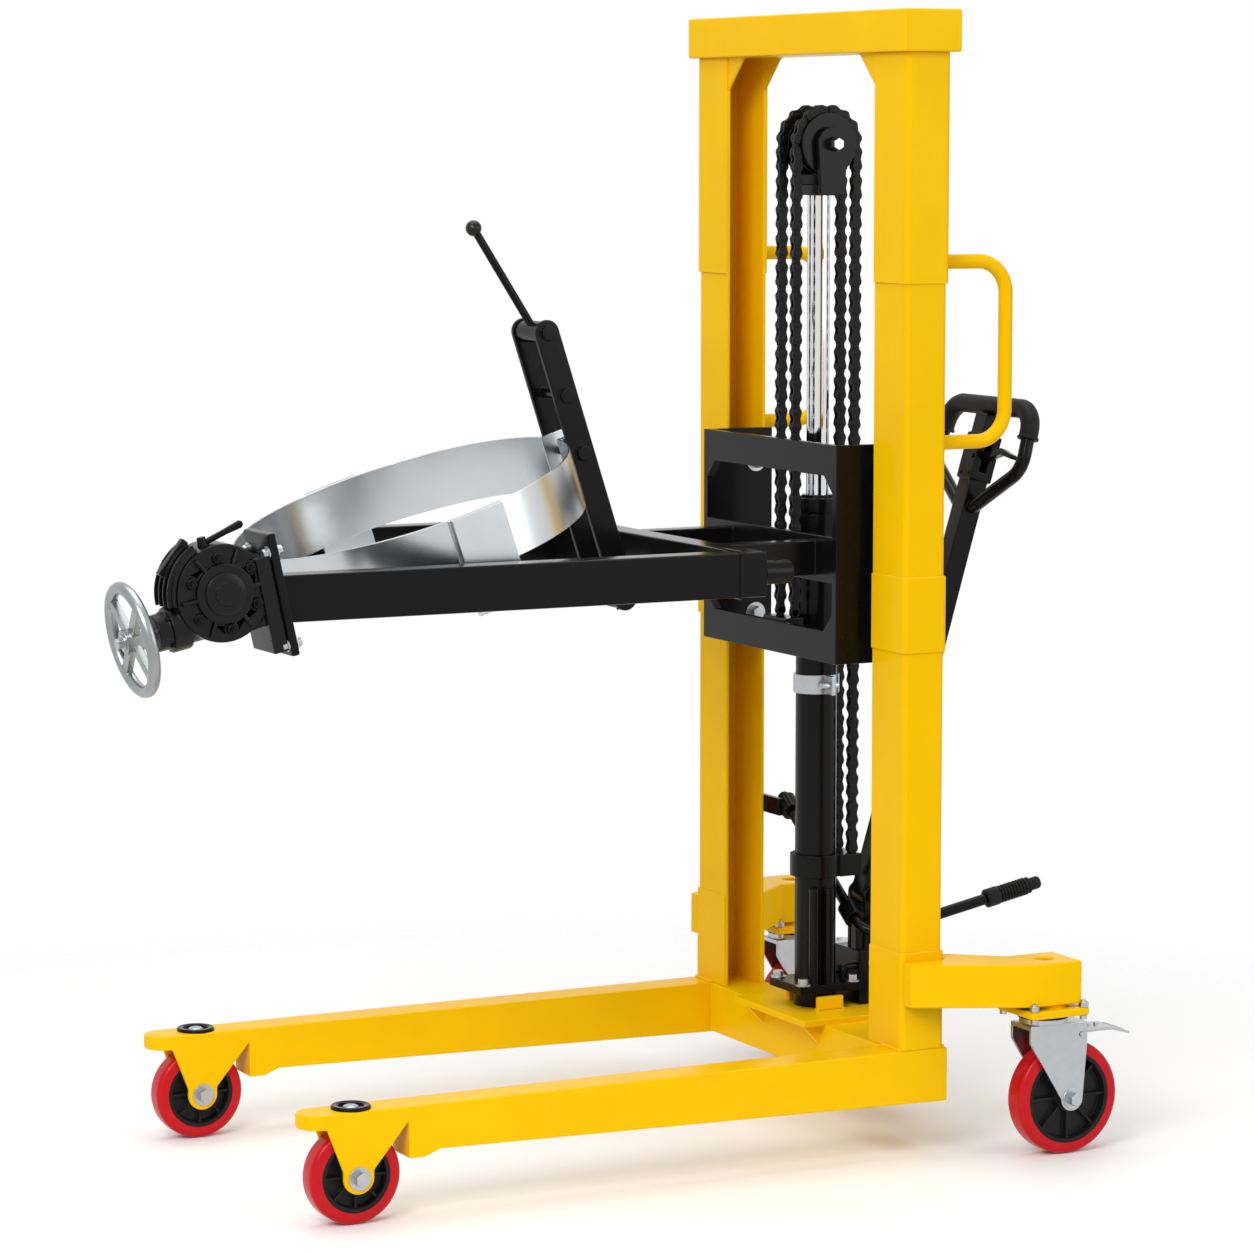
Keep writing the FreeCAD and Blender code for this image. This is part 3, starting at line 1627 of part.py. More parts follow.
def pedal_collars():
    """Two bearing eyes on the pedal's shaft: one on the far column, one on the pump."""
    top, bend, _ = pedal_points()
    along = pedal_axis()
    bore = pedal_radius + running_clearance
    high = top.add(along * 12.0)
    low = bend.sub(along * (pedal_bend_radius + collar_length + 4.0))
    eyes = []
    for start in (high, low):
        end = start.add(along * collar_length)
        eyes.append(round_bar(start, end, collar_radius))
    low_middle = low.add(along * (collar_length / 2))
    post = block(
        (pump_front + 2.0, pump_front + 16.0),
        (low_middle.y - 9.0, low_middle.y + 9.0),
        (pump_top, low_middle.z),
    )
    high_middle = high.add(along * (collar_length / 2))
    tab = block(
        (half_depth, half_depth + 10.0),
        (high_middle.y - 8.0, column_inner + 30.0),
        (high_middle.z - 16.0, high_middle.z + 16.0),
    )
    hole = round_bar(top.sub(along * pedal_bend_radius), bend.add(along * pedal_bend_radius), bore)
    return Part.makeCompound([
        joined([eyes[0], tab]).cut(hole),
        joined([eyes[1], post]).cut(hole),
    ])


keep("pump_body", pump_body())
keep("pump_plunger", pump_plunger())
keep("pressure_pipe", pressure_pipe())
keep("pump_handle", pump_handle())
keep("handle_grips", handle_grips())
keep("release_lever", release_lever())
keep("foot_pedal", foot_pedal())
keep("pedal_grip", pedal_grip())
keep("pedal_collars", pedal_collars())


# Move to the bottom centre of the machine and write one file per piece

box = Part.makeCompound(list(nodes.values())).BoundBox
shift = point(-(box.XMin + box.XMax) / 2, -(box.YMin + box.YMax) / 2, -box.ZMin)
os.makedirs("parts", exist_ok=True)
for name, shape in nodes.items():
    shape.translate(shift)
    shape.exportStep("parts/" + name + ".step")
print("pieces", len(nodes))
print("shift", round(shift.x, 3), round(shift.y, 3), round(shift.z, 3))
print("size", round(box.XLength, 1), round(box.YLength, 1), round(box.ZLength, 1))
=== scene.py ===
"""Studio picture of a drum tipper: a hand-pumped mast lifter with a tilting band clamp.

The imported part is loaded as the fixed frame. Each class below dresses one sub-assembly with
finished pieces that ride on the part's bodies.
"""

import json
import logging
import math
from dataclasses import dataclass
from enum import Enum
from typing import Any, Dict, Iterable, List, Optional, Sequence, Tuple

import bmesh
import bpy
from mathutils import Matrix, Vector

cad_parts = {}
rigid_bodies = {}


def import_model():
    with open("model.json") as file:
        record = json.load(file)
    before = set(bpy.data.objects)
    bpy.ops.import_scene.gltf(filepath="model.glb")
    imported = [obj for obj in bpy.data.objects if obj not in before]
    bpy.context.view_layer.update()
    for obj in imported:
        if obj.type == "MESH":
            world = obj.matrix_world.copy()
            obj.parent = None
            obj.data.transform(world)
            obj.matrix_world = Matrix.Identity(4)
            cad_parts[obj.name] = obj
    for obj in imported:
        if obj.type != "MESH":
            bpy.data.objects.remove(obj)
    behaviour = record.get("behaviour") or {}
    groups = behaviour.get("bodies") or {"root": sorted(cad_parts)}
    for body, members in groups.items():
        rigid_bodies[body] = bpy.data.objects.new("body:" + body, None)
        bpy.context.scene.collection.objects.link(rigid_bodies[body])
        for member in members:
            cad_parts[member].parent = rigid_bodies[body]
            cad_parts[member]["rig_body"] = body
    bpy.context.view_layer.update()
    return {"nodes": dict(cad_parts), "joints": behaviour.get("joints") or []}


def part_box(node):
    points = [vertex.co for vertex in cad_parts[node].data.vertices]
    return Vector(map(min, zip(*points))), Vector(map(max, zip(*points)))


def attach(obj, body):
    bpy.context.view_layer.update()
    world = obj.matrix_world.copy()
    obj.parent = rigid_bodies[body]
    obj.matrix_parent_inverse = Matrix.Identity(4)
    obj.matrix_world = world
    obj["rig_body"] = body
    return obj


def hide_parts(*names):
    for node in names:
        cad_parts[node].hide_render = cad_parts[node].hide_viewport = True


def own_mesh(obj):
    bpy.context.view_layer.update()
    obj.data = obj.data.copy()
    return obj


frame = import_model()

LOG = logging.getLogger("drum_tipper")

Point = Tuple[float, float, float]
Outline = Tuple[Tuple[float, float], ...]
Socket = bpy.types.NodeSocket

MM = 0.001
SMOOTH_ANGLE = math.radians(38.0)
FLAT_ANGLE = math.radians(0.6)
SAME_POINT = 0.01 * MM
NO_LENGTH = 0.001 * MM
SIDES: Tuple[Tuple[str, float], ...] = (("near", -1.0), ("far", 1.0))
UP = Vector((0.0, 0.0, 1.0))
DOWN = -UP
WHITE = (1.0, 1.0, 1.0, 1.0)
PALE = (0.95, 0.95, 0.95, 1.0)


def in_millimetres(*points: Tuple[float, float]) -> Outline:
    """Give an outline in metres from points in millimetres."""
    return tuple((a * MM, b * MM) for a, b in points)


# Finishes


@dataclass(frozen=True)
class Look:
    """Surface values of one finish.

    Attributes:
        colour: Linear base colour.
        metallic: Share of metal reflection.
        roughness: Mean roughness.
        grain: Depth of the fine bump.
        grain_scale: Fineness of the bump, in cells per metre.
        coat: Weight of a clear coat.
        shine: Specular level of the surface.
        spread: How far the roughness wanders.
        tone: How far the shade wanders.
        wear_and_highlight: How much the edges lighten, as rubbed paint and a painted highlight.
        patch: Size of the wandering patches, in cells per metre.
    """

    colour: Point
    metallic: float
    roughness: float
    grain: float = 0.0
    grain_scale: float = 400.0
    coat: float = 0.0
    shine: float = 0.5
    spread: float = 0.15
    tone: float = 0.06
    wear_and_highlight: float = 0.0
    patch: float = 9.0


class Finish(Enum):
    """The finishes in the machine, each with its record slot."""

    # The edge lightening in these looks is partly rubbed paint and partly a painted highlight.
    YELLOW = (
        "yellow_paint",
        Look(
            (0.95, 0.55, 0.001), 0.0, 0.26, grain=0.03, grain_scale=240.0, coat=0.01, shine=0.04, wear_and_highlight=0.30,
        ),
    )
    BLACK = (
        "black_paint",
        Look(
            (0.005, 0.005, 0.005), 0.0, 0.20, grain=0.04, grain_scale=500.0, coat=0.01, shine=0.13,
            tone=0.2, wear_and_highlight=0.05,
        ),
    )
    CAST = (
        "cast_black",
        Look(
            (0.005, 0.005, 0.005), 0.0, 0.28, grain=0.25, grain_scale=420.0, shine=0.20, tone=0.3, wear_and_highlight=0.05,
        ),
    )
    CHAIN = (
        "chain_steel",
        Look(
            (0.016, 0.016, 0.017), 0.55, 0.40, grain=0.04, grain_scale=900.0, shine=0.2, spread=0.3,
            tone=0.3, wear_and_highlight=0.08,
        ),
    )
    CHROME = ("chrome_rod", Look((0.72, 0.73, 0.75), 1.0, 0.07, tone=0.03))
    ZINC = (
        "zinc_steel",
        Look(
            (0.50, 0.52, 0.54), 1.0, 0.30, grain=0.03, grain_scale=300.0, spread=0.25, tone=0.10, patch=60.0,
        ),
    )
    BAND = (
        "zinc_steel",
        Look(
            (0.60, 0.63, 0.65), 1.0, 0.24, grain=0.03, grain_scale=160.0, spread=0.2, tone=0.05, patch=18.0,
        ),
    )
    STEEL = ("bright_steel", Look((0.50, 0.51, 0.53), 1.0, 0.26, grain=0.02, tone=0.1))
    SILVER = (
        "silver_wheel",
        Look(
            (0.34, 0.36, 0.36), 1.0, 0.30, grain=0.08, grain_scale=260.0, spread=0.2, tone=0.10, patch=40.0,
        ),
    )
    RED = (
        "red_tyre",
        Look(
            (0.58, 0.004, 0.009), 0.0, 0.26, grain=0.03, grain_scale=180.0, coat=0.06, shine=0.16, tone=0.12,
        ),
    )
    HUB = (
        "black_hub",
        Look(
            (0.009, 0.009, 0.009), 0.0, 0.42, grain=0.10, grain_scale=600.0, shine=0.18, tone=0.2, wear_and_highlight=0.03,
        ),
    )
    RUBBER = (
        "black_rubber",
        Look((0.009, 0.009, 0.009), 0.0, 0.55, grain=0.16, grain_scale=700.0, shine=0.18, tone=0.2),
    )
    KNOB = (
        "black_knob",
        Look((0.009, 0.009, 0.009), 0.0, 0.20, grain=0.01, grain_scale=300.0, coat=0.05, shine=0.2),
    )

    @property
    def slot(self) -> str:
        """Record slot this finish belongs to."""
        return self.value[0]

    @property
    def look(self) -> Look:
        """Surface values of this finish."""
        return self.value[1]


class Paintbox:
    """Makes each finish's material once, on object coordinates.

    Attributes:
        coat_roughness: Roughness of a clear coat.
        edge_radius: Radius to which edges look rounded.
        edge_samples: Samples of that rounding.
        patch_detail: Detail of the wandering patches.
        patch_span: Darkest shade of a patch, in units of the finish's tone.
        grain_detail: Detail of the fine bump.
        grain_depth: Height of the fine bump at full strength.
        wear_highlight_start: Likeness of the flat and the rounded normal where the rubbed paint and painted
            edge highlight start.
        wear_highlight_full: Likeness where they are strongest.
        wear_highlight_share: Weight of the rubbed and painted-highlight colour there.
        wear_highlight_lift: Lightness that rubbing and the painted highlight add to black.
    """

    coat_roughness: float = 0.08
    edge_radius: float = 1.2 * MM
    edge_samples: int = 4
    patch_detail: float = 4.0
    patch_span: float = 2.0
    grain_detail: float = 2.0
    grain_depth: float = 1.0 * MM
    wear_highlight_start: float = 0.99
    wear_highlight_full: float = 0.80
    wear_highlight_share: float = 0.8
    wear_highlight_lift: float = 0.15

    def __init__(self) -> None:
        """Start with nothing mixed."""
        self._made: Dict[Finish, bpy.types.Material] = {}

    def get(self, finish: Finish) -> bpy.types.Material:
        """Return the material for a finish.

        Args:
            finish: The finish wanted.

        Returns:
            Its node material.
        """
        if finish not in self._made:
            self._made[finish] = self._make(finish)
        return self._made[finish]

    def _make(self, finish: Finish) -> bpy.types.Material:
        """Mix one finish.

        Args:
            finish: The finish to mix.

        Returns:
            A new node material.
        """
        look = finish.look
        material = bpy.data.materials.new(finish.name.lower())
        material.use_nodes = True
        tree = material.node_tree
        shader = tree.nodes["Principled BSDF"]
        shader.inputs["Metallic"].default_value = look.metallic
        shader.inputs["Specular IOR Level"].default_value = look.shine
        shader.inputs["Coat Weight"].default_value = look.coat
        shader.inputs["Coat Roughness"].default_value = self.coat_roughness
        place = tree.nodes.new("ShaderNodeTexCoord").outputs["Object"]
        edge = tree.nodes.new("ShaderNodeBevel")
        edge.samples = self.edge_samples
        edge.inputs["Radius"].default_value = self.edge_radius
        normal = edge.outputs["Normal"]
        colour, rough = self._wander(tree, look, place)
        # Lighten the edges: partly rubbed paint, partly a painted highlight.
        if look.wear_and_highlight:
            colour = self._worn_and_highlit(tree, look, colour, normal)
        if look.grain:
            normal = self._grain(tree, look, place, normal)
        tree.links.new(colour, shader.inputs["Base Color"])
        tree.links.new(rough, shader.inputs["Roughness"])
        tree.links.new(normal, shader.inputs["Normal"])
        return material

    def _wander(self, tree: bpy.types.NodeTree, look: Look, place: Socket) -> Tuple[Socket, Socket]:
        """Let shade and roughness wander in soft patches.

        Args:
            tree: Tree that takes the nodes.
            look: Values of the finish.
            place: Object coordinates.

        Returns:
            The colour and the roughness.
        """
        noise = tree.nodes.new("ShaderNodeTexNoise")
        noise.inputs["Scale"].default_value = look.patch
        noise.inputs["Detail"].default_value = self.patch_detail
        tree.links.new(place, noise.inputs["Vector"])
        rough = tree.nodes.new("ShaderNodeMapRange")
        rough.inputs["To Min"].default_value = look.roughness * (1.0 - look.spread)
        rough.inputs["To Max"].default_value = look.roughness * (1.0 + look.spread)
        tree.links.new(noise.outputs["Fac"], rough.inputs["Value"])
        shade = tree.nodes.new("ShaderNodeMix")
        shade.data_type = "RGBA"
        dark = [c * (1.0 - self.patch_span * look.tone) for c in look.colour]
        shade.inputs["A"].default_value = (*dark, 1.0)
        shade.inputs["B"].default_value = (*look.colour, 1.0)
        tree.links.new(noise.outputs["Fac"], shade.inputs["Factor"])
        return shade.outputs["Result"], rough.outputs["Result"]

    def _worn_and_highlit(self, tree: bpy.types.NodeTree, look: Look, colour: Socket, normal: Socket) -> Socket:
        """Lighten the colour where an edge is rounded, as rubbed paint and a painted highlight.

        Args:
            tree: Tree that takes the nodes.
            look: Values of the finish.
            colour: Colour of the flat faces.
            normal: Normal with rounded edges.

        Returns:
            The rubbed colour with its painted edge highlight.
        """
        flat = tree.nodes.new("ShaderNodeNewGeometry")
        likeness = tree.nodes.new("ShaderNodeVectorMath")
        likeness.operation = "DOT_PRODUCT"
        tree.links.new(flat.outputs["Normal"], likeness.inputs[0])
        tree.links.new(normal, likeness.inputs[1])
        wear_highlight_mask = tree.nodes.new("ShaderNodeMapRange")
        wear_highlight_mask.inputs["From Min"].default_value = self.wear_highlight_start
        wear_highlight_mask.inputs["From Max"].default_value = self.wear_highlight_full
        wear_highlight_mask.inputs["To Max"].default_value = self.wear_highlight_share
        tree.links.new(likeness.outputs["Value"], wear_highlight_mask.inputs["Value"])
        worn_highlit_colour = tree.nodes.new("ShaderNodeMix")
        worn_highlit_colour.data_type = "RGBA"
        # Edge colour: rubbed paint plus a painted highlight.
        pale = [min(1.0, c + look.wear_and_highlight * (self.wear_highlight_lift + c)) for c in look.colour]
        worn_highlit_colour.inputs["B"].default_value = (*pale, 1.0)
        tree.links.new(wear_highlight_mask.outputs["Result"], worn_highlit_colour.inputs["Factor"])
        tree.links.new(colour, worn_highlit_colour.inputs["A"])
        return worn_highlit_colour.outputs["Result"]

    def _grain(self, tree: bpy.types.NodeTree, look: Look, place: Socket, normal: Socket) -> Socket:
        """Roughen the normal with a fine bump.

        Args:
            tree: Tree that takes the nodes.
            look: Values of the finish.
            place: Object coordinates.
            normal: Normal before the bump.

        Returns:
            The bumped normal.
        """
        fine = tree.nodes.new("ShaderNodeTexNoise")
        fine.inputs["Scale"].default_value = look.grain_scale
        fine.inputs["Detail"].default_value = self.grain_detail
        tree.links.new(place, fine.inputs["Vector"])
        bump = tree.nodes.new("ShaderNodeBump")
        bump.inputs["Strength"].default_value = look.grain
        bump.inputs["Distance"].default_value = self.grain_depth
        tree.links.new(fine.outputs["Fac"], bump.inputs["Height"])
        tree.links.new(normal, bump.inputs["Normal"])
        return bump.outputs["Normal"]


PAINT = Paintbox()


# Mesh building


class Piece:
    """A mesh under construction, in the row frame, that becomes one object.

    A bolt's shares are in widths across flats.

    Attributes:
        washer_radius: Share of a washer's radius.
        washer_sink: Bottom of a washer under its seat.
        washer_top: Top of a washer over its seat.
        head_seat: Bottom of a head over its washer's seat.
        head_height: Share of a head's height.
        head_radius: Share of a head's radius at the bottom.
        crown_radius: Share of a head's radius at the top.
        head_bevel: Share of a head's rounding.
    """

    washer_radius: float = 0.82
    washer_sink: float = 0.5 * MM
    washer_top: float = 1.8 * MM
    head_seat: float = 1.7 * MM
    head_height: float = 0.6
    head_radius: float = 0.577
    crown_radius: float = 0.55
    head_bevel: float = 0.05

    def __init__(self, name: str, finish: Finish) -> None:
        """Start an empty mesh.

        Args:
            name: Name of the object to come.
            finish: Its finish.
        """
        self.name = name
        self.finish = finish
        self.crisp = False
        self.bm = bmesh.new()

    def _bevel(self, verts: Iterable[bmesh.types.BMVert], width: float, segments: int = 2) -> None:
        """Round the sharp edges among some vertices.

        Args:
            verts: Vertices whose edges are looked at.
            width: Bevel width in metres.
            segments: Steps round the bevel.
        """
        if width <= 0.0:
            return
        self.crisp = True
        around = dict.fromkeys(edge for vert in verts for edge in vert.link_edges)
        sharp = [edge for edge in around if edge.calc_face_angle(0.0) > SMOOTH_ANGLE]
        bmesh.ops.bevel(
            self.bm, geom=sharp, offset=width, affect="EDGES",
            segments=segments, profile=0.5, material=-1,
        )

    def box(self, low: Sequence[float], high: Sequence[float], bevel: float = 0.0) -> "Piece":
        """Add a box between two corners.

        Args:
            low: Corner with the least coordinates.
            high: Opposite corner.
            bevel: Width of the rounding.

        Returns:
            This piece.
        """
        size = [b - a for a, b in zip(low, high)]
        middle = [(a + b) / 2 for a, b in zip(low, high)]
        matrix = Matrix.Translation(middle) @ Matrix.Diagonal((*size, 1.0))
        made = bmesh.ops.create_cube(self.bm, size=1.0, matrix=matrix)
        self._bevel(made["verts"], bevel)
        return self

    def bar(
        self, start: Sequence[float], end: Sequence[float], radius: float,
        tip: Optional[float] = None, sides: int = 32, bevel: float = 0.0,
    ) -> "Piece":
        """Add a round, conical or polygonal bar between two points.

        Args:
            start: Middle of the first end.
            end: Middle of the other end.
            radius: Radius at the first end.
            tip: Radius at the other end, if it differs.
            sides: Number of sides.
            bevel: Width of the rounding at the ends.

        Returns:
            This piece.
        """
        a, b = Vector(start), Vector(end)
        turn = (b - a).to_track_quat("Z", "Y").to_matrix().to_4x4()
        matrix = Matrix.Translation((a + b) / 2) @ turn
        made = bmesh.ops.create_cone(
            self.bm, cap_ends=True, segments=sides, radius1=radius,
            radius2=radius if tip is None else tip, depth=(b - a).length, matrix=matrix,
        )
        self._bevel(made["verts"], bevel)
        return self

    def hex_bolt(
        self, place: Sequence[float], axis: Sequence[float], size: float, washer: bool = True
    ) -> "Piece":
        """Add a hexagon bolt head with its washer.

        Args:
            place: Centre of the seat.
            axis: Outward direction.
            size: Width across flats.
            washer: Whether a washer lies under the head.

        Returns:
            This piece.
        """
        out = Vector(axis).normalized()
        seat = Vector(place)
        if washer:
            top = seat + out * self.washer_top
            self.bar(seat - out * self.washer_sink, top, size * self.washer_radius, sides=24)
            seat = seat + out * self.head_seat
        return self.bar(
            seat, seat + out * size * self.head_height, size * self.head_radius, size * self.crown_radius,
            sides=6, bevel=size * self.head_bevel,
        )

    def lathe(
        self, profile: Sequence[Tuple[float, float]], origin: Sequence[float], axis: Sequence[float],
        steps: int = 64,
    ) -> "Piece":
        """Turn a closed outline about an axis.

        Args:
            profile: (radius, height) pairs.
            origin: Where the height is zero.
            axis: Direction of the height.
            steps: Steps of the turn.

        Returns:
            This piece.
        """
        turn = Vector(axis).to_track_quat("Z", "Y").to_matrix().to_4x4()
        matrix = Matrix.Translation(Vector(origin)) @ turn
        verts = [self.bm.verts.new(matrix @ Vector((r, 0.0, h))) for r, h in profile]
        edges = [self.bm.edges.new((a, b)) for a, b in zip(verts, verts[1:] + verts[:1])]
        bmesh.ops.spin(
            self.bm, geom=verts + edges, cent=Vector(origin), axis=Vector(axis).normalized(),
            dvec=(0.0, 0.0, 0.0), angle=math.tau, steps=steps, use_merge=True,
        )
        return self

    def sweep(self, path: Sequence[Sequence[float]], radii: Sequence[float], sides: int = 20) -> "Piece":
        """Add a round tube along a run of points, with closed ends.

        Args:
            path: Points along the middle.
            radii: Radius at each point.
            sides: Number of sides.

        Returns:
            This piece.
        """
        points = [Vector(p) for p in path]
        last = len(points) - 1
        across = (points[1] - points[0]).orthogonal()
        loops: List[List[bmesh.types.BMEdge]] = []
        for i, (here, radius) in enumerate(zip(points, radii)):
            ahead = (points[min(i + 1, last)] - points[max(i - 1, 0)]).normalized()
            across = (across - ahead * across.dot(ahead)).normalized()
            turn = Matrix((across, ahead.cross(across), ahead)).transposed().to_4x4()
            ring = bmesh.ops.create_circle(
                self.bm, cap_ends=i in (0, last), segments=sides, radius=radius,
                matrix=Matrix.Translation(here) @ turn,
            )
            loops.append(list(dict.fromkeys(e for v in ring["verts"] for e in v.link_edges)))
        for first, second in zip(loops, loops[1:]):
            bmesh.ops.bridge_loops(self.bm, edges=first + second)
        return self

    def plate(
        self, outline: Sequence[Sequence[float]], depth: Sequence[float], bevel: float = 0.0
    ) -> "Piece":
        """Add a flat outline pushed along a vector.

        Args:
            outline: Points of one face.
            depth: Vector to the other face.
            bevel: Width of the rounding.

        Returns:
            This piece.
        """
        base = [self.bm.verts.new(Vector(p)) for p in outline]
        face = self.bm.faces.new(base)
        pushed = bmesh.ops.extrude_face_region(self.bm, geom=[face])
        top = [v for v in pushed["geom"] if isinstance(v, bmesh.types.BMVert)]
        bmesh.ops.translate(self.bm, verts=top, vec=Vector(depth))
        self._bevel(base + top, bevel)
        return self

    def copy_node(self, node: str, bevel: float = 0.0, segments: int = 2) -> "Piece":
        """Add a rounded copy of a CAD node.

        Args:
            node: Name of the node.
            bevel: Width of the rounding at its sharp edges.
            segments: Steps round each edge.

        Returns:
            This piece.
        """
        self.bm.from_mesh(frame["nodes"][node].data)
        bmesh.ops.remove_doubles(self.bm, verts=self.bm.verts, dist=SAME_POINT)
        bmesh.ops.dissolve_limit(
            self.bm, angle_limit=FLAT_ANGLE, verts=self.bm.verts, edges=self.bm.edges
        )
        self._bevel(list(self.bm.verts), bevel, segments)
        return self

    def build(self, body: str, *nodes: str) -> bpy.types.Object:
        """Turn the mesh into an object on a body.

        Args:
            body: CAD body it rides on.
            nodes: CAD nodes it stands for.

        Returns:
            The new object.
        """
        bmesh.ops.dissolve_degenerate(self.bm, dist=NO_LENGTH, edges=self.bm.edges)
        bmesh.ops.recalc_face_normals(self.bm, faces=self.bm.faces)
        for face in self.bm.faces:
            face.smooth = True
        for edge in self.bm.edges:
            edge.smooth = edge.calc_face_angle(0.0) < SMOOTH_ANGLE
        mesh = bpy.data.meshes.new(self.name)
        self.bm.to_mesh(mesh)
        self.bm.free()
        mesh.materials.append(PAINT.get(self.finish))
        made = bpy.data.objects.new(self.name, mesh)
        bpy.context.scene.collection.objects.link(made)
        if self.crisp:
            made.modifiers.new("flat_faces", "WEIGHTED_NORMAL").keep_sharp = True
        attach(made, body)
        if nodes:
            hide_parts(*nodes)
        LOG.info("%s on %s: %d faces", self.name, body, len(mesh.polygons))
        return made


def joint(name: str) -> Dict[str, Any]:
    """Find one of the frame's joints by its name."""
    return next(j for j in frame["joints"] if j["name"] == name)


def centre(node: str) -> Vector:
    """Find the middle of a CAD node's box."""
    low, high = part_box(node)
    return (low + high) / 2


def soft_copy(node: str, finish: Finish, bevel: float = 0.0) -> None:
    """Show a rounded copy of a node in place of the node.

    Args:
        node: Name of the node.
        finish: Finish of the copy.
        bevel: Width of the rounding.
    """
    body = frame["nodes"][node]["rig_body"]
    Piece(node + "_skin", finish).copy_node(node, bevel).build(body, node)


Skin = Tuple[str, Finish, float]


def soft_copies(skins: Sequence[Skin]) -> None:
    """Show rounded copies of several nodes in place of the nodes.

    Args:
        skins: Each node with its finish and the width of its rounding.
    """
    for node, finish, bevel in skins:
        soft_copy(node, finish, bevel)


def paint_node(node: str, finish: Finish) -> None:
    """Give a CAD node a finish as it stands.

    Args:
        node: Name of the node.
        finish: Finish for its material slots.
    """
    for slot in frame["nodes"][node].material_slots:
        slot.material = PAINT.get(finish)


# Small common details

BEAD = 3.5 * MM
RIPPLE = 2.2 * MM
DIP = 0.86
BEAD_END = 0.5
BEAD_SIDES = 8
LEAST_RUN = 6
LEAST_RING = 24


def ripples(count: int, size: float) -> List[float]:
    """Give the radii along a weld bead.

    Args:
        count: Number of steps along the bead.
        size: Largest radius.

    Returns:
        One radius more than there are steps.
    """
    return [size * (1.0 if i % 2 else DIP) for i in range(count + 1)]


def weld(piece: Piece, start: Sequence[float], end: Sequence[float], size: float = BEAD) -> None:
    """Lay a rippled weld bead between two points.

    Args:
        piece: Mesh that takes the bead.
        start: First point.
        end: Last point.
        size: Largest radius.
    """
    a, b = Vector(start), Vector(end)
    count = max(LEAST_RUN, int((b - a).length / RIPPLE))
    radii = ripples(count, size)
    radii[0] = radii[-1] = size * BEAD_END
    piece.sweep([a.lerp(b, i / count) for i in range(count + 1)], radii, BEAD_SIDES)


def weld_ring(
    piece: Piece, middle: Sequence[float], axis: Sequence[float], radius: float, size: float
) -> None:
    """Lay a rippled weld bead round a tube.

    Args:
        piece: Mesh that takes the bead.
        middle: Centre of the ring.
        axis: Axis of the tube.
        radius: Radius of the ring.
        size: Largest radius of the bead.
    """
    out = Vector(axis).normalized()
    across = out.orthogonal().normalized() * radius
    count = max(LEAST_RING, int(math.tau * radius / RIPPLE))
    path = [
        Vector(middle) + Matrix.Rotation(math.tau * i / count, 3, out) @ across for i in range(count + 1)
    ]
    piece.sweep(path, ripples(count, size), BEAD_SIDES)


def arc_corners(corners: Sequence[Tuple[float, float, float]], steps: int = 5) -> List[Tuple[float, float]]:
    """Round the corners of a flat outline.

    Args:
        corners: (x, y, radius) of each corner in order.
        steps: Points along each rounded corner.

    Returns:
        The outline's points.
    """
    made: List[Tuple[float, float]] = []
    count = len(corners)
    for i, (x, y, radius) in enumerate(corners):
        here = Vector((x, y))
        if radius <= 0.0:
            made.append((x, y))
            continue
        before = (Vector(corners[i - 1][:2]) - here).normalized()
        after = (Vector(corners[(i + 1) % count][:2]) - here).normalized()
        half = before.angle(after) / 2
        cut = radius / math.tan(half)
        middle = here + (before + after).normalized() * (radius / math.sin(half))
        first, last = here + before * cut - middle, here + after * cut - middle
        for k in range(steps + 1):
            turned = first.lerp(last, k / steps).normalized() * radius
            made.append(tuple(middle + turned))
    return made


# Sub-assemblies


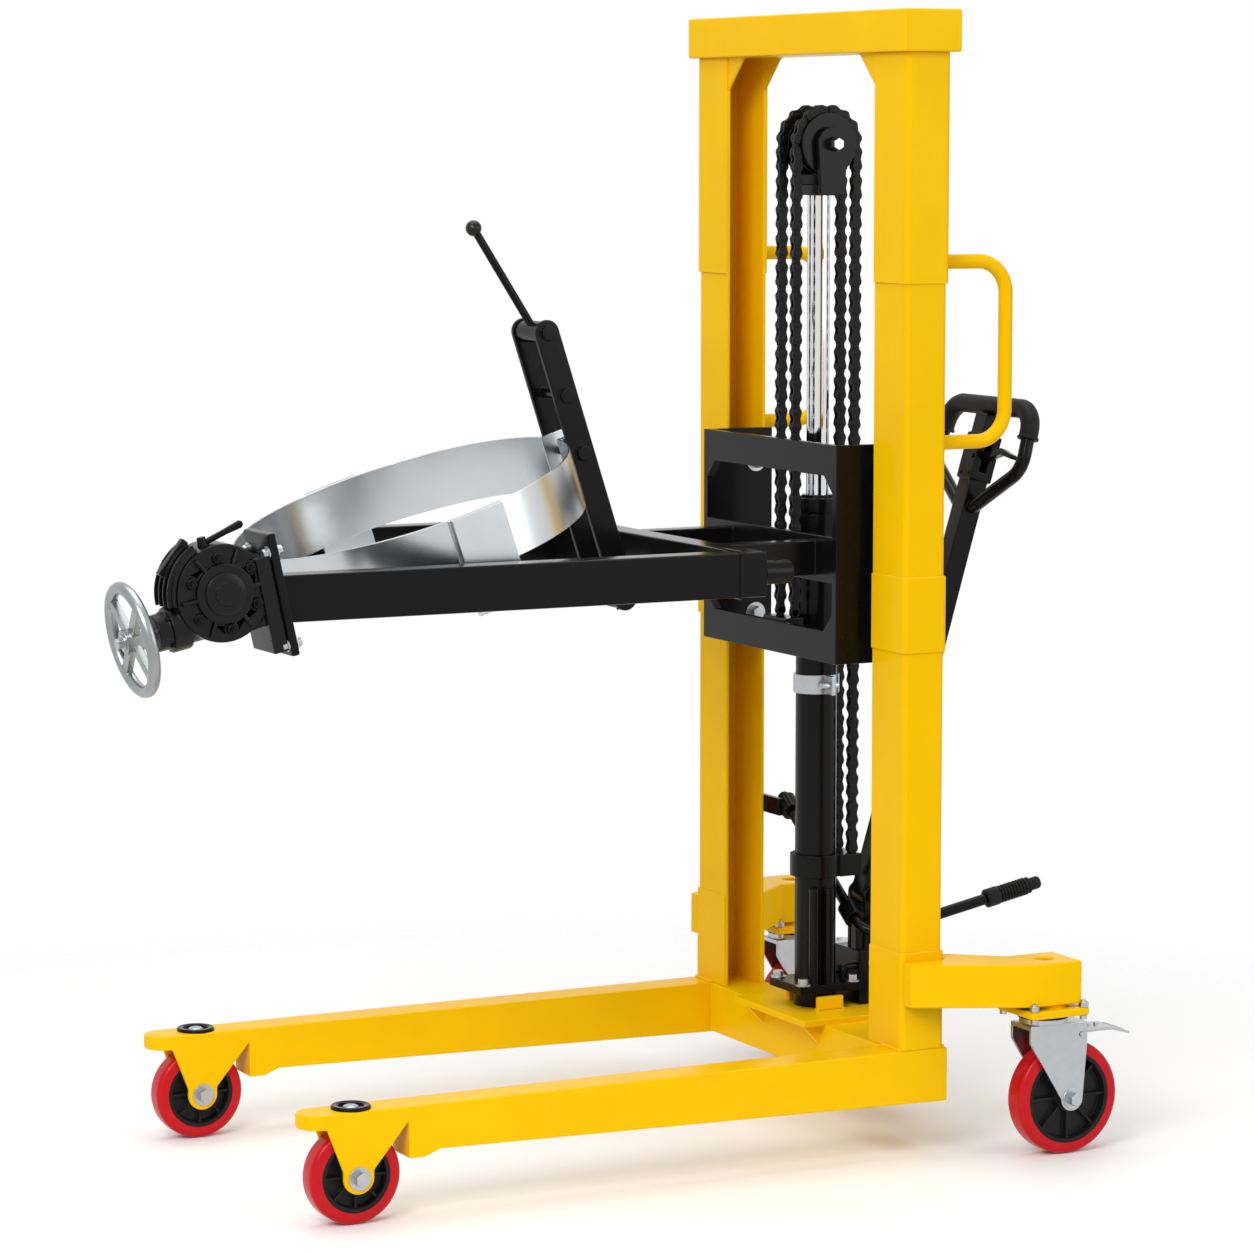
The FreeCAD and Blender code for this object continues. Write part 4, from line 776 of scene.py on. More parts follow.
@dataclass
class Chassis:
    """Yellow legs, base, outriggers, columns, header and grab handles.

    Attributes:
        corner: Outer corner radius of a column.
        inner_corner: Inner corner radius of a column.
        lip: Greatest corner radius at a column's lips.
        lip_share: Corner radius at a thin lip, as a share of its wall.
        wall: Wall of a column.
        sleeve: Step of a column's sleeves.
        sleeve_lip: How far a sleeve's lip stands back, as a share of its step.
        sleeve_soft: Rounding at a sleeve's ends.
        sleeves: Lower and upper end of each sleeve.
        tube: Radius of a grab handle's tube.
        tube_ring: Radius of the bead round it.
        tube_bead: Radius of that bead's section.
        outrigger_soft: Rounding of an outrigger.
        flange: Thickness of a caster flange.
        flange_bolt: Offset of a flange bolt from the swivel axis.
        bolt: Width across flats of a flange bolt's head.
        nut: Width across flats of its nut.
        stud: Radius of its shank.
        stud_length: Length of the shank over the flange.
        cap: Outline of a nose cap's ring, as radius and height.
        cap_floor: Radius of the sunk middle.
        cap_span: Bottom and top of the sunk middle.
        nose_bolt: Outline of the bolt in the middle, as radius and height.
        nose_seat: Height of that bolt's seat.
        foot_seam: Inner end of a column's foot bead, from the middle plane.
        leg_seam: Length of the bead between leg and base.
        lug: Inner and outer face of a foot lug, from the middle plane.
        lug_half: Half-length of a foot lug.
        lug_height: Height of a foot lug.
        lug_soft: Rounding of a foot lug.
        lug_bead: Radius of its weld beads.
        sink: How far a bead's middle stands off a corner.
        skins: Nodes that rounded copies stand for, with finish and rounding.
    """

    corner: float = 9.0 * MM
    inner_corner: float = 3.0 * MM
    lip: float = 2.0 * MM
    lip_share: float = 0.4
    wall: float = 6.0 * MM
    sleeve: float = 3.0 * MM
    sleeve_lip: float = 0.2
    sleeve_soft: float = 0.8 * MM
    sleeves: Tuple[Tuple[float, float], ...] = ((0.190, 0.360), (0.880, 1.010), (1.510, 1.900))
    tube: float = 12.5 * MM
    tube_ring: float = 14.0 * MM
    tube_bead: float = 4.0 * MM
    outrigger_soft: float = 3.5 * MM
    flange: float = 14.0 * MM
    flange_bolt: float = 50.0 * MM
    bolt: float = 12.0 * MM
    nut: float = 16.0 * MM
    stud: float = 4.6 * MM
    stud_length: float = 13.0 * MM
    cap: Outline = in_millimetres(
        (21.5, 0.0), (33.0, 0.0), (33.0, 4.0), (31.0, 6.0), (25.0, 6.0), (21.5, 4.0)
    )
    cap_floor: float = 22.5 * MM
    cap_span: Tuple[float, float] = (-1.0 * MM, 1.5 * MM)
    nose_bolt: Outline = in_millimetres((0.4, 0.0), (13.0, 0.0), (12.6, 2.5), (9.0, 4.6), (0.4, 5.4))
    nose_seat: float = 1.0 * MM
    foot_seam: float = 312.0 * MM
    leg_seam: float = 85.0 * MM
    lug: Tuple[float, float] = (48.0 * MM, 60.0 * MM)
    lug_half: float = 26.0 * MM
    lug_height: float = 24.0 * MM
    lug_soft: float = 2.5 * MM
    lug_bead: float = 3.0 * MM
    sink: float = 1.0 * MM
    skins: Tuple[Skin, ...] = (
        ("near_leg", Finish.YELLOW, 3.5 * MM), ("far_leg", Finish.YELLOW, 3.5 * MM),
        ("base_beam", Finish.YELLOW, 2.5 * MM), ("header_beam", Finish.YELLOW, 4.0 * MM),
    )

    def column(self, side: str, sign: float) -> None:
        """Make a channel column with its stepped sleeves.

        Args:
            side: Side of the machine.
            sign: Direction of that side.
        """
        low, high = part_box(side + "_column")
        deep = (high.x - low.x) / 2 - self.sleeve
        middle = (high.x + low.x) / 2
        outer = max(abs(low.y), abs(high.y)) - self.sleeve
        inner = min(abs(low.y), abs(high.y))
        piece = Piece(side + "_column_skin", Finish.YELLOW)
        spans = [(0.0, low.z, high.z)] + [(self.sleeve, a, b) for a, b in self.sleeves]
        for extra, bottom, top in spans:
            reach, far, lip = deep + extra, outer + extra, inner + extra * self.sleeve_lip
            skin = extra + self.wall / 2 if extra else self.wall
            soft = min(self.lip, skin * self.lip_share)
            corners = [
                (-reach, lip, soft), (-reach, far, self.corner),
                (reach, far, self.corner), (reach, lip, soft),
                (reach - skin, lip, soft), (reach - skin, far - skin, self.inner_corner),
                (skin - reach, far - skin, self.inner_corner), (skin - reach, lip, soft),
            ]
            outline = [(middle + x, sign * y, bottom) for x, y in arc_corners(corners)]
            piece.plate(outline, UP * (top - bottom), self.sleeve_soft if extra else 0.0)
        piece.build("frame", side + "_column")

    def grab_handle_welds(self) -> None:
        """Make smooth handle tubes with a bead where they meet the columns."""
        piece = Piece("grab_handles_skin", Finish.YELLOW).copy_node("grab_handles")
        low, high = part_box("grab_handles")
        for _, sign in SIDES:
            y = sign * (high.y - self.tube)
            for z in (low.z + self.tube, high.z - self.tube):
                step = self.sleeve if z > self.sleeves[-1][0] else 0.0
                seat = (low.x + step + self.tube_bead / 2, y, z)
                weld_ring(piece, seat, (1.0, 0.0, 0.0), self.tube_ring, self.tube_bead)
        piece.build("frame", "grab_handles")

    def outrigger(self, side: str) -> None:
        """Make a rounded outrigger with its flange bolts.

        Args:
            side: Side of the machine.
        """
        node = side + "_outrigger"
        piece = Piece(node + "_skin", Finish.YELLOW)
        piece.copy_node(node, self.outrigger_soft, segments=3).build("frame", node)
        pin = Vector((self.swivel_x(side), centre(side + "_caster_fork").y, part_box(node)[0].z))
        bolts = Piece(side + "_flange_bolts", Finish.ZINC)
        for dx in (-self.flange_bolt, self.flange_bolt):
            for dy in (-self.flange_bolt, self.flange_bolt):
                seat = pin + Vector((dx, dy, 0.0))
                bolts.hex_bolt(seat, DOWN, self.bolt, False)
                top = seat + UP * self.flange
                bolts.hex_bolt(top, UP, self.nut, False)
                bolts.bar(top, top + UP * self.stud_length, self.stud, sides=16)
        bolts.build("frame")

    @staticmethod
    def swivel_x(side: str) -> float:
        """Find the x of a caster's swivel axis."""
        return joint(side + "_swivel")["pos_m"][0]

    def nose(self, side: str) -> None:
        """Make the ring cap with a domed bolt on a leg's nose.

        Args:
            side: Side of the machine.
        """
        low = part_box("nose_caps")[0]
        seat = Vector((centre("nose_caps").x, centre(side + "_leg").y, low.z))
        ring = Piece(side + "_nose_ring", Finish.BLACK).lathe(self.cap, seat, UP, steps=48)
        bottom, top = (seat + UP * height for height in self.cap_span)
        ring.bar(bottom, top, self.cap_floor, sides=48)
        made = ring.build("frame")
        bolt = Piece(side + "_nose_bolt", Finish.ZINC)
        bolt.lathe(self.nose_bolt, seat + UP * self.nose_seat, UP, steps=40)
        bolt.build("frame")
        if side == "near":
            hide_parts("nose_caps")

    def seams(self) -> None:
        """Lay weld beads at the feet of the columns and along the base."""
        piece = Piece("base_seams", Finish.YELLOW)
        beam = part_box("base_beam")
        for side, sign in SIDES:
            low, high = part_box(side + "_column")
            outer = sign * max(abs(low.y), abs(high.y))
            z = low.z + self.sink
            for x in (low.x, high.x):
                weld(piece, (x, sign * self.foot_seam, z), (x, outer, z))
            y = sign * (max(abs(beam[0].y), abs(beam[1].y)) - self.sink)
            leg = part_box(side + "_leg")[1]
            weld(piece, (leg.x, y, leg.z - self.leg_seam), (leg.x, y, leg.z - 2 * self.sink))
        piece.build("frame")

    def foot_lugs(self) -> None:
        """Make low lugs on the base plate, beside the cylinder's foot."""
        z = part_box("cylinder_barrel")[0].z
        x = centre("piston_rod").x
        piece = Piece("foot_lugs", Finish.YELLOW)
        for _, sign in SIDES:
            near, far = sorted(sign * y for y in self.lug)
            first, last = x - self.lug_half, x + self.lug_half
            piece.box((first, near, z), (last, far, z + self.lug_height), self.lug_soft)
            for end in (first, last):
                weld(piece, (end, near, z), (end, far, z), self.lug_bead)
        piece.build("frame")

    def dress(self) -> None:
        """Make every piece of the chassis."""
        soft_copies(self.skins)
        for side, sign in SIDES:
            self.column(side, sign)
            self.outrigger(side)
            self.nose(side)
        self.grab_handle_welds()
        self.seams()
        self.foot_lugs()


@dataclass
class Wheels:
    """Front wheels, casters and their brakes.

    Attributes:
        tyre_depth: Depth of a tyre over its hub.
        tyre_round: Corner radius of a tyre.
        tyre_steps: Steps round that corner.
        axle: Radius of a front axle.
        axle_bolt: Width across flats of its head and nut.
        fork_face: Outer face of a fork leg, from the wheel's middle.
        fork_nut: Width across flats of a caster's axle nut.
        seal: Inner and outer radius of the swivel's seal.
        seal_span: Bottom and top of the seal under the flange.
        fork_soft: Rounding of a fork.
        hub_soft: Rounding of a hub.
        brake_soft: Rounding of a brake pedal.
        rivets: Distance of the brake's rivets from its pivot.
        rivet: Lower and upper radius of a rivet.
        rivet_top: Height of a rivet over the pivot.
        rivet_soft: Rounding of a rivet.
        treads: Distance of the brake's tread bars from its pivot.
        tread: Radius of a tread bar.
        tread_half: Half-length of a tread bar.
        tread_top: Height of the tread where it starts to fall.
        tread_start: Distance of that place from the pivot.
        tread_fall: Slope of the tread.
        brake_bolt: Place of the brake's bolt from its pivot, along and up.
        brake_head: Width across flats of that bolt.
    """

    tyre_depth: float = 20.0 * MM
    tyre_round: float = 10.0 * MM
    tyre_steps: int = 8
    axle: float = 10.0 * MM
    axle_bolt: float = 24.0 * MM
    fork_face: float = 33.0 * MM
    fork_nut: float = 22.0 * MM
    seal: Tuple[float, float] = (38.0 * MM, 44.0 * MM)
    seal_span: Tuple[float, float] = (-6.5 * MM, -3.5 * MM)
    fork_soft: float = 1.5 * MM
    hub_soft: float = 1.2 * MM
    brake_soft: float = 1.0 * MM
    rivets: Tuple[float, ...] = (34.0 * MM, 50.0 * MM)
    rivet: Tuple[float, float] = (5.0 * MM, 4.0 * MM)
    rivet_top: float = 10.5 * MM
    rivet_soft: float = 0.8 * MM
    treads: Tuple[float, ...] = (78.0 * MM, 86.0 * MM, 94.0 * MM)
    tread: float = 1.6 * MM
    tread_half: float = 20.0 * MM
    tread_top: float = 6.0 * MM
    tread_start: float = 70.0 * MM
    tread_fall: float = 12.0 / 34.0
    brake_bolt: Tuple[float, float] = (16.0 * MM, 7.6 * MM)
    brake_head: float = 13.0 * MM

    def tyre(self, node: str) -> None:
        """Turn a rounded solid tyre in place of the faceted one.

        Args:
            node: The tyre's node.
        """
        low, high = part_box(node)
        half = (high.y - low.y) / 2
        radius = (high.z - low.z) / 2
        soft = self.tyre_round
        profile: List[Tuple[float, float]] = [(radius - self.tyre_depth, -half)]
        for k in range(self.tyre_steps + 1):
            angle = math.pi / 2 * k / self.tyre_steps
            profile.append((radius - soft + soft * math.sin(angle), soft - half - soft * math.cos(angle)))
        profile += [(r, -h) for r, h in reversed(profile)]
        piece = Piece(node + "_skin", Finish.RED)
        piece.lathe(profile, centre(node), (0.0, 1.0, 0.0), steps=96)
        piece.build(frame["nodes"][node]["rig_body"], node)

    def front_axle_ends(self) -> None:
        """Make the axle pins, with hexagon heads on both ears."""
        middle = centre("front_axles")
        piece = Piece("front_axles_skin", Finish.ZINC)
        for side, _ in SIDES:
            low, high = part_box(side + "_leg")
            first, last = (middle.x, low.y, middle.z), (middle.x, high.y, middle.z)
            piece.bar(first, last, self.axle)
            piece.hex_bolt(first, (0.0, -1.0, 0.0), self.axle_bolt)
            piece.hex_bolt(last, (0.0, 1.0, 0.0), self.axle_bolt)
        piece.build("frame", "front_axles")

    def caster(self, side: str) -> None:
        """Make a pressed fork with its axle nuts, and the swivel's seal.

        Args:
            side: Side of the machine.
        """
        fork, body = side + "_caster_fork", side + "_caster"
        piece = Piece(fork + "_skin", Finish.ZINC).copy_node(fork, self.fork_soft)
        x, y, z = joint(side + "_caster_spin")["pos_m"]
        for sign in (-1.0, 1.0):
            piece.hex_bolt((x, y + sign * self.fork_face, z), (0.0, sign, 0.0), self.fork_nut)
        piece.build(body, fork)
        (inner, outer), (bottom, top) = self.seal, self.seal_span
        seat = (Chassis.swivel_x(side), centre(fork).y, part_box(side + "_outrigger")[0].z)
        seal = Piece(side + "_caster_seal", Finish.RUBBER)
        seal.lathe([(inner, bottom), (outer, bottom), (outer, top), (inner, top)], seat, UP)
        seal.build(body)

    def brake(self, side: str) -> None:
        """Make a brake pedal with its bolt, rivets and tread bars.

        Args:
            side: Side of the machine.
        """
        node = side + "_brake"
        pivot = Vector(joint(side + "_brake_press")["pos_m"])
        piece = Piece(node + "_skin", Finish.ZINC).copy_node(node, self.brake_soft)
        for along in self.rivets:
            seat = pivot + Vector((along, 0.0, 0.0))
            piece.bar(seat, seat + UP * self.rivet_top, *self.rivet, sides=20, bevel=self.rivet_soft)
        for along in self.treads:
            rise = self.tread_top - self.tread_fall * (along - self.tread_start)
            middle = pivot + Vector((along, 0.0, rise))
            half = Vector((0.0, self.tread_half, 0.0))
            piece.bar(middle - half, middle + half, self.tread, sides=10)
        along, rise = self.brake_bolt
        piece.hex_bolt(pivot + Vector((along, 0.0, rise)), UP, self.brake_head)
        piece.build(node, node)

    def dress(self) -> None:
        """Make every wheel piece."""
        for side, _ in SIDES:
            for kind in ("front", "caster"):
                self.tyre(f"{side}_{kind}_tyre")
                soft_copy(f"{side}_{kind}_hub", Finish.HUB, self.hub_soft)
            self.caster(side)
            self.brake(side)
        self.front_axle_ends()


@dataclass
class Hydraulics:
    """Cylinder, rod, pump block and pipe.

    Attributes:
        collar: Inner and outer radius of the collar under the gland.
        collar_span: Bottom and top of the collar from the barrel's top.
        wiper: Inner, lower and upper radius of the rod's wiper ring.
        wiper_height: Height of the wiper ring.
        foot: Top of the foot flange over the barrel's bottom.
        foot_bolts: Offsets of the foot bolts from the rod's axis.
        foot_head: Width across flats of a foot bolt.
        casting_soft: Rounding of the barrel and the pump block.
        valve: Place of the side valve from the block's low corner, along and up.
        valve_hex: Radius and height of the valve's hexagon.
        valve_head: Width across flats of its bolt.
        plug: Place of the side plug from the block's low corner, along and up.
        plug_head: Width across flats of the side plug.
        port: Place of the rear port, across, and up from the block's bottom.
        port_hex: Radius and height of the port's hexagon.
        clip_bolt: Place of the clip's bolt, back from its middle and in from its edge.
        clip_head: Width across flats of the clip's bolt.
        clip_soft: Rounding of the clip.
        skins: Nodes that rounded copies stand for, with finish and rounding.
    """

    collar: Tuple[float, float] = (36.0 * MM, 39.5 * MM)
    collar_span: Tuple[float, float] = (-52.0 * MM, -30.0 * MM)
    wiper: Tuple[float, float, float] = (20.4 * MM, 30.0 * MM, 27.0 * MM)
    wiper_height: float = 5.0 * MM
    foot: float = 46.0 * MM
    foot_bolts: Tuple[float, float] = (50.0 * MM, 46.0 * MM)
    foot_head: float = 17.0 * MM
    casting_soft: float = 1.5 * MM
    valve: Tuple[float, float] = (50.0 * MM, 30.0 * MM)
    valve_hex: Tuple[float, float] = (9.0 * MM, 5.0 * MM)
    valve_head: float = 10.0 * MM
    plug: Tuple[float, float] = (28.0 * MM, 75.0 * MM)
    plug_head: float = 12.0 * MM
    port: Tuple[float, float] = (20.0 * MM, 50.0 * MM)
    port_hex: Tuple[float, float] = (10.0 * MM, 6.0 * MM)
    clip_bolt: Tuple[float, float] = (14.0 * MM, 10.0 * MM)
    clip_head: float = 12.0 * MM
    clip_soft: float = 0.8 * MM
    skins: Tuple[Skin, ...] = (
        ("piston_rod", Finish.CHROME, 0.0), ("pressure_pipe", Finish.BLACK, 0.0),
        ("pump_plunger", Finish.STEEL, 0.6 * MM), ("chain_anchor", Finish.BLACK, 1.5 * MM),
    )

    def cylinder(self) -> None:
        """Make the barrel with its collar, wiper ring and foot bolts."""
        piece = Piece("cylinder_skin", Finish.BLACK).copy_node("cylinder_barrel", self.casting_soft)
        low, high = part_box("cylinder_barrel")
        x, y = centre("piston_rod").xy
        (inner, outer), (bottom, top) = self.collar, self.collar_span
        piece.lathe([(inner, bottom), (outer, bottom), (outer, top), (inner, top)], (x, y, high.z), UP)
        hole, wide, slim = self.wiper
        ring = [(hole, 0.0), (wide, 0.0), (slim, self.wiper_height), (hole, self.wiper_height)]
        piece.lathe(ring, (x, y, high.z), UP, steps=48)
        piece.build("frame", "cylinder_barrel")
        bolts = Piece("cylinder_bolts", Finish.ZINC)
        along, across = self.foot_bolts
        for dx in (-along, along):
            for dy in (-across, across):
                bolts.hex_bolt((x + dx, y + dy, low.z + self.foot), UP, self.foot_head)
        bolts.build("frame")

    def pump(self) -> None:
        """Make the pump block with its valve, plug and port."""
        piece = Piece("pump_body_skin", Finish.BLACK).copy_node("pump_body", self.casting_soft)
        low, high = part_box("pump_body")
        seat = Vector((low.x + self.valve[0], low.y, low.z + self.valve[1]))
        side = Vector((0.0, -1.0, 0.0))
        radius, height = self.valve_hex
        crown = seat + side * height
        piece.bar(seat, crown, radius, sides=6)
        port = Vector((high.x, self.port[0], low.z + self.port[1]))
        radius, height = self.port_hex
        piece.bar(port, port + Vector((height, 0.0, 0.0)), radius, sides=6)
        piece.build("frame", "pump_body")
        plugs = Piece("pump_plugs", Finish.ZINC)
        plugs.hex_bolt(crown, side, self.valve_head, False)
        plugs.hex_bolt((low.x + self.plug[0], low.y, low.z + self.plug[1]), side, self.plug_head)
        plugs.build("frame")

    def clip(self) -> None:
        """Make the barrel clip with its bolt."""
        piece = Piece("barrel_clip_skin", Finish.ZINC).copy_node("barrel_clip", self.clip_soft)
        middle = centre("barrel_clip")
        back, edge = self.clip_bolt
        seat = (middle.x - back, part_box("barrel_clip")[0].y + edge, middle.z)
        piece.hex_bolt(seat, (-1.0, 0.0, 0.0), self.clip_head, False)
        piece.build("frame", "barrel_clip")

    def dress(self) -> None:
        """Make every hydraulic piece."""
        self.cylinder()
        self.pump()
        self.clip()
        soft_copies(self.skins)


@dataclass
class LiftChain:
    """Lift chains of leaf links, with their sheaves and yoke.

    Attributes:
        pitch: Distance between pins.
        height: Height of a link plate.
        end_steps: Steps round a plate's end.
        waist: Half-height of a plate's waist, as a share of its height.
        pin_drop: First pin under a run's top, as a share of the height.
        offsets: Distance of the two strands from the middle plane.
        outer: Inner and outer face of an outer plate, from the strand's middle.
        inner: Inner and outer face of an inner plate, from the strand's middle.
        pin: Radius of a pin.
        pin_half: Half-length of a pin.
        bush: Radius of the bush on a pin.
        wrap_links: Links over a sheave.
        slim: Width of the links that come off the sheaves, as a share of the others.
        nut: Width across flats of the sheave pin's head and nut.
        yoke_soft: Rounding of the yoke.
        sheave_soft: Rounding of the sheaves.
    """

    pitch: float = 25.4 * MM
    height: float = 19.0 * MM
    end_steps: int = 6
    waist: float = 0.34
    pin_drop: float = 0.42
    offsets: Tuple[float, float] = (-26.0 * MM, 26.0 * MM)
    outer: Tuple[float, float] = (4.2 * MM, 7.0 * MM)
    inner: Tuple[float, float] = (1.2 * MM, 3.9 * MM)
    pin: float = 4.2 * MM
    pin_half: float = 8.3 * MM
    bush: float = 6.0 * MM
    wrap_links: int = 9
    slim: float = 0.97
    nut: float = 20.0 * MM
    yoke_soft: float = 1.5 * MM
    sheave_soft: float = 0.8 * MM

    def link(self, piece: Piece, first: Vector, second: Vector, wide: bool) -> None:
        """Add one link between two pins in the sheave's plane.

        Args:
            piece: Mesh that takes it.
            first: First pin's centre.
            second: Second pin's centre.
            wide: Outer plates, with the pins, or inner plates, with the bushes.
        """
        along = (second - first).normalized()
        side = Vector((0.0, 1.0, 0.0))
        up = side.cross(along).normalized()
        outline: List[Vector] = []
        for middle, start, sign in ((first, math.pi / 2, -1.0), (second, -math.pi / 2, 1.0)):
            for k in range(self.end_steps + 1):
                angle = start + math.pi * k / self.end_steps
                outline.append(middle + (along * math.cos(angle) + up * math.sin(angle)) * self.height / 2)
            outline.append((first + second) / 2 + up * sign * self.height * self.waist)
        low, high = self.outer if wide else self.inner
        for start in (low, -high):
            piece.plate([p + side * start for p in outline], side * (high - low))
        radius, half = (self.pin, self.pin_half) if wide else (self.bush, high)
        for middle in (first, second):
            piece.bar(middle - side * half, middle + side * half, radius, sides=12)

    def top_pin(self, node: str) -> Vector:
        """Find the middle of a run at the height of its first pins."""
        return Vector((centre(node).x, 0.0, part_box(node)[1].z - self.height * self.pin_drop))

    def strands(self, piece: Piece, top: Vector, count: int) -> Piece:
        """Hang both strands down from a height.

        Args:
            piece: Mesh that takes them.
            top: Middle between the first pins.
            count: Links in each strand.

        Returns:
            The same piece.
        """
        for y in self.offsets:
            for i in range(count):
                first = top + Vector((0.0, y, -i * self.pitch))
                self.link(piece, first, first - UP * self.pitch, i % 2 == 0)
        return piece

    def straight(self, node: str) -> Piece:
        """Make both strands of a hanging run.

        Args:
            node: Node of the run.

        Returns:
            The run, not yet built.
        """
        top = self.top_pin(node)
        count = round((top.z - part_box(node)[0].z) / self.pitch)
        return self.strands(Piece(node + "_skin", Finish.CHAIN), top, count)

    def paid_out(self) -> None:
        """Make the links that show between sheaves and carriage as the carriage goes down."""
        top = self.top_pin("chain_lift_run")
        count = math.ceil(abs(joint("lift")["range_m"][0]) / 2 / self.pitch)
        piece = self.strands(Piece("chain_paid_out", Finish.CHAIN), top, count)
        for y in self.offsets:
            strand = [v for v in piece.bm.verts if v.co.y * y > 0.0]
            middle = Matrix.Translation((-top.x, -y, 0.0))
            bmesh.ops.scale(piece.bm, vec=(self.slim, self.slim, 1.0), space=middle, verts=strand)
        piece.build("rod")

    def wrap(self) -> None:
        """Make both strands over the sheaves, from run to run."""
        hub = Vector(joint("sheave_spin")["pos_m"])
        top = self.top_pin("chain_anchor_run")
        radius, straight = top.x - hub.x, hub.z - top.z
        total = 2 * straight + math.pi * radius
        piece = Piece("chain_wrap_skin", Finish.CHAIN)
        for y in self.offsets:
            pins = []
            for i in range(self.wrap_links + 1):
                run = total * i / self.wrap_links
                angle = min(max((run - straight) / radius, 0.0), math.pi)
                drop = max(straight - run, run - total + straight, 0.0)
                arc = Vector((radius * math.cos(angle), 0.0, radius * math.sin(angle) - drop))
                pins.append(Vector((hub.x, y, hub.z)) + arc)
            for i, (first, second) in enumerate(zip(pins, pins[1:])):
                self.link(piece, first, second, i % 2 == 1)
        piece.build("rod", "chain_wrap")

    def yoke(self) -> None:
        """Make the sheave yoke with a bolt head and a nut on its pin."""
        soft_copy("sheave_yoke", Finish.BLACK, self.yoke_soft)
        low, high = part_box("sheave_yoke")
        x, _, z = joint("sheave_spin")["pos_m"]
        bolts = Piece("sheave_bolts", Finish.ZINC)
        bolts.hex_bolt((x, low.y, z), (0.0, -1.0, 0.0), self.nut, False)
        bolts.hex_bolt((x, high.y, z), (0.0, 1.0, 0.0), self.nut, False)
        bolts.build("rod")

    def dress(self) -> None:
        """Make the chains, sheaves and yoke."""
        run = self.straight("chain_anchor_run").build("frame", "chain_anchor_run")
        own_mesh(run)
        self.straight("chain_lift_run").build("carriage", "chain_lift_run")
        self.paid_out()
        self.wrap()
        self.yoke()
        soft_copy("chain_sheaves", Finish.BLACK, self.sheave_soft)


@dataclass
class Carriage:
    """Roller frame, forward beams and side arms.

    Attributes:
        arm_seam: Inner end of an arm's bead, from the arm's inner face.
        beams: Distance of the forward beams from the middle plane.
        beam_half: Half-width of a forward beam.
        beam_span: Bottom and top of the beads beside a forward beam.
        roller_face: Inner face of a roller plate, from the middle plane.
        nut: Width across flats of a roller's nut.
        skins: Nodes that rounded copies stand for, with finish and rounding.
    """

    arm_seam: float = 14.0 * MM
    beams: float = 150.0 * MM
    beam_half: float = 20.0 * MM
    beam_span: Tuple[float, float] = (1.0, 1.06)
    roller_face: float = 228.0 * MM
    nut: float = 24.0 * MM
    skins: Tuple[Skin, ...] = (
        ("carriage_frame", Finish.BLACK, 1.5 * MM), ("yoke_beam", Finish.BLACK, 3.0 * MM),
        ("near_arm", Finish.BLACK, 3.0 * MM), ("far_arm", Finish.BLACK, 3.0 * MM),
    )

    def seams(self) -> None:
        """Lay weld beads where the beams and arms meet."""
        piece = Piece("carriage_seams", Finish.BLACK)
        beam_low, beam_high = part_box("yoke_beam")
        for side, sign in SIDES:
            low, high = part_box(side + "_arm")
            x, outer = high.x, sign * beam_high.y
            inner = sign * (min(abs(low.y), abs(high.y)) + self.arm_seam)
            for z in (beam_low.z, beam_high.z):
                weld(piece, (x, inner, z), (x, outer, z))
            weld(piece, (x, outer, beam_low.z), (x, outer, beam_high.z))
        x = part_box("carriage_frame")[0].x
        bottom, top = self.beam_span
        for beam in (-self.beams, self.beams):
            for y in (beam - self.beam_half, beam + self.beam_half):
                weld(piece, (x, y, bottom), (x, y, top))
        piece.build("carriage")

    def bolts(self) -> None:
        """Put the rollers' nuts on the side plates."""
        piece = Piece("carriage_bolts", Finish.ZINC)
        for side, sign in SIDES:
            for level in ("lower", "upper"):
                x, _, z = joint(f"{side}_{level}_roller_spin")["pos_m"]
                piece.hex_bolt((x, sign * self.roller_face, z), (0.0, -sign, 0.0), self.nut)
        piece.build("carriage")

    def dress(self) -> None:
        """Make every carriage piece."""
        soft_copies(self.skins)
        for side, _ in SIDES:
            for level in ("lower", "upper"):
                soft_copy(f"{side}_{level}_roller", Finish.STEEL)
        self.seams()
        self.bolts()


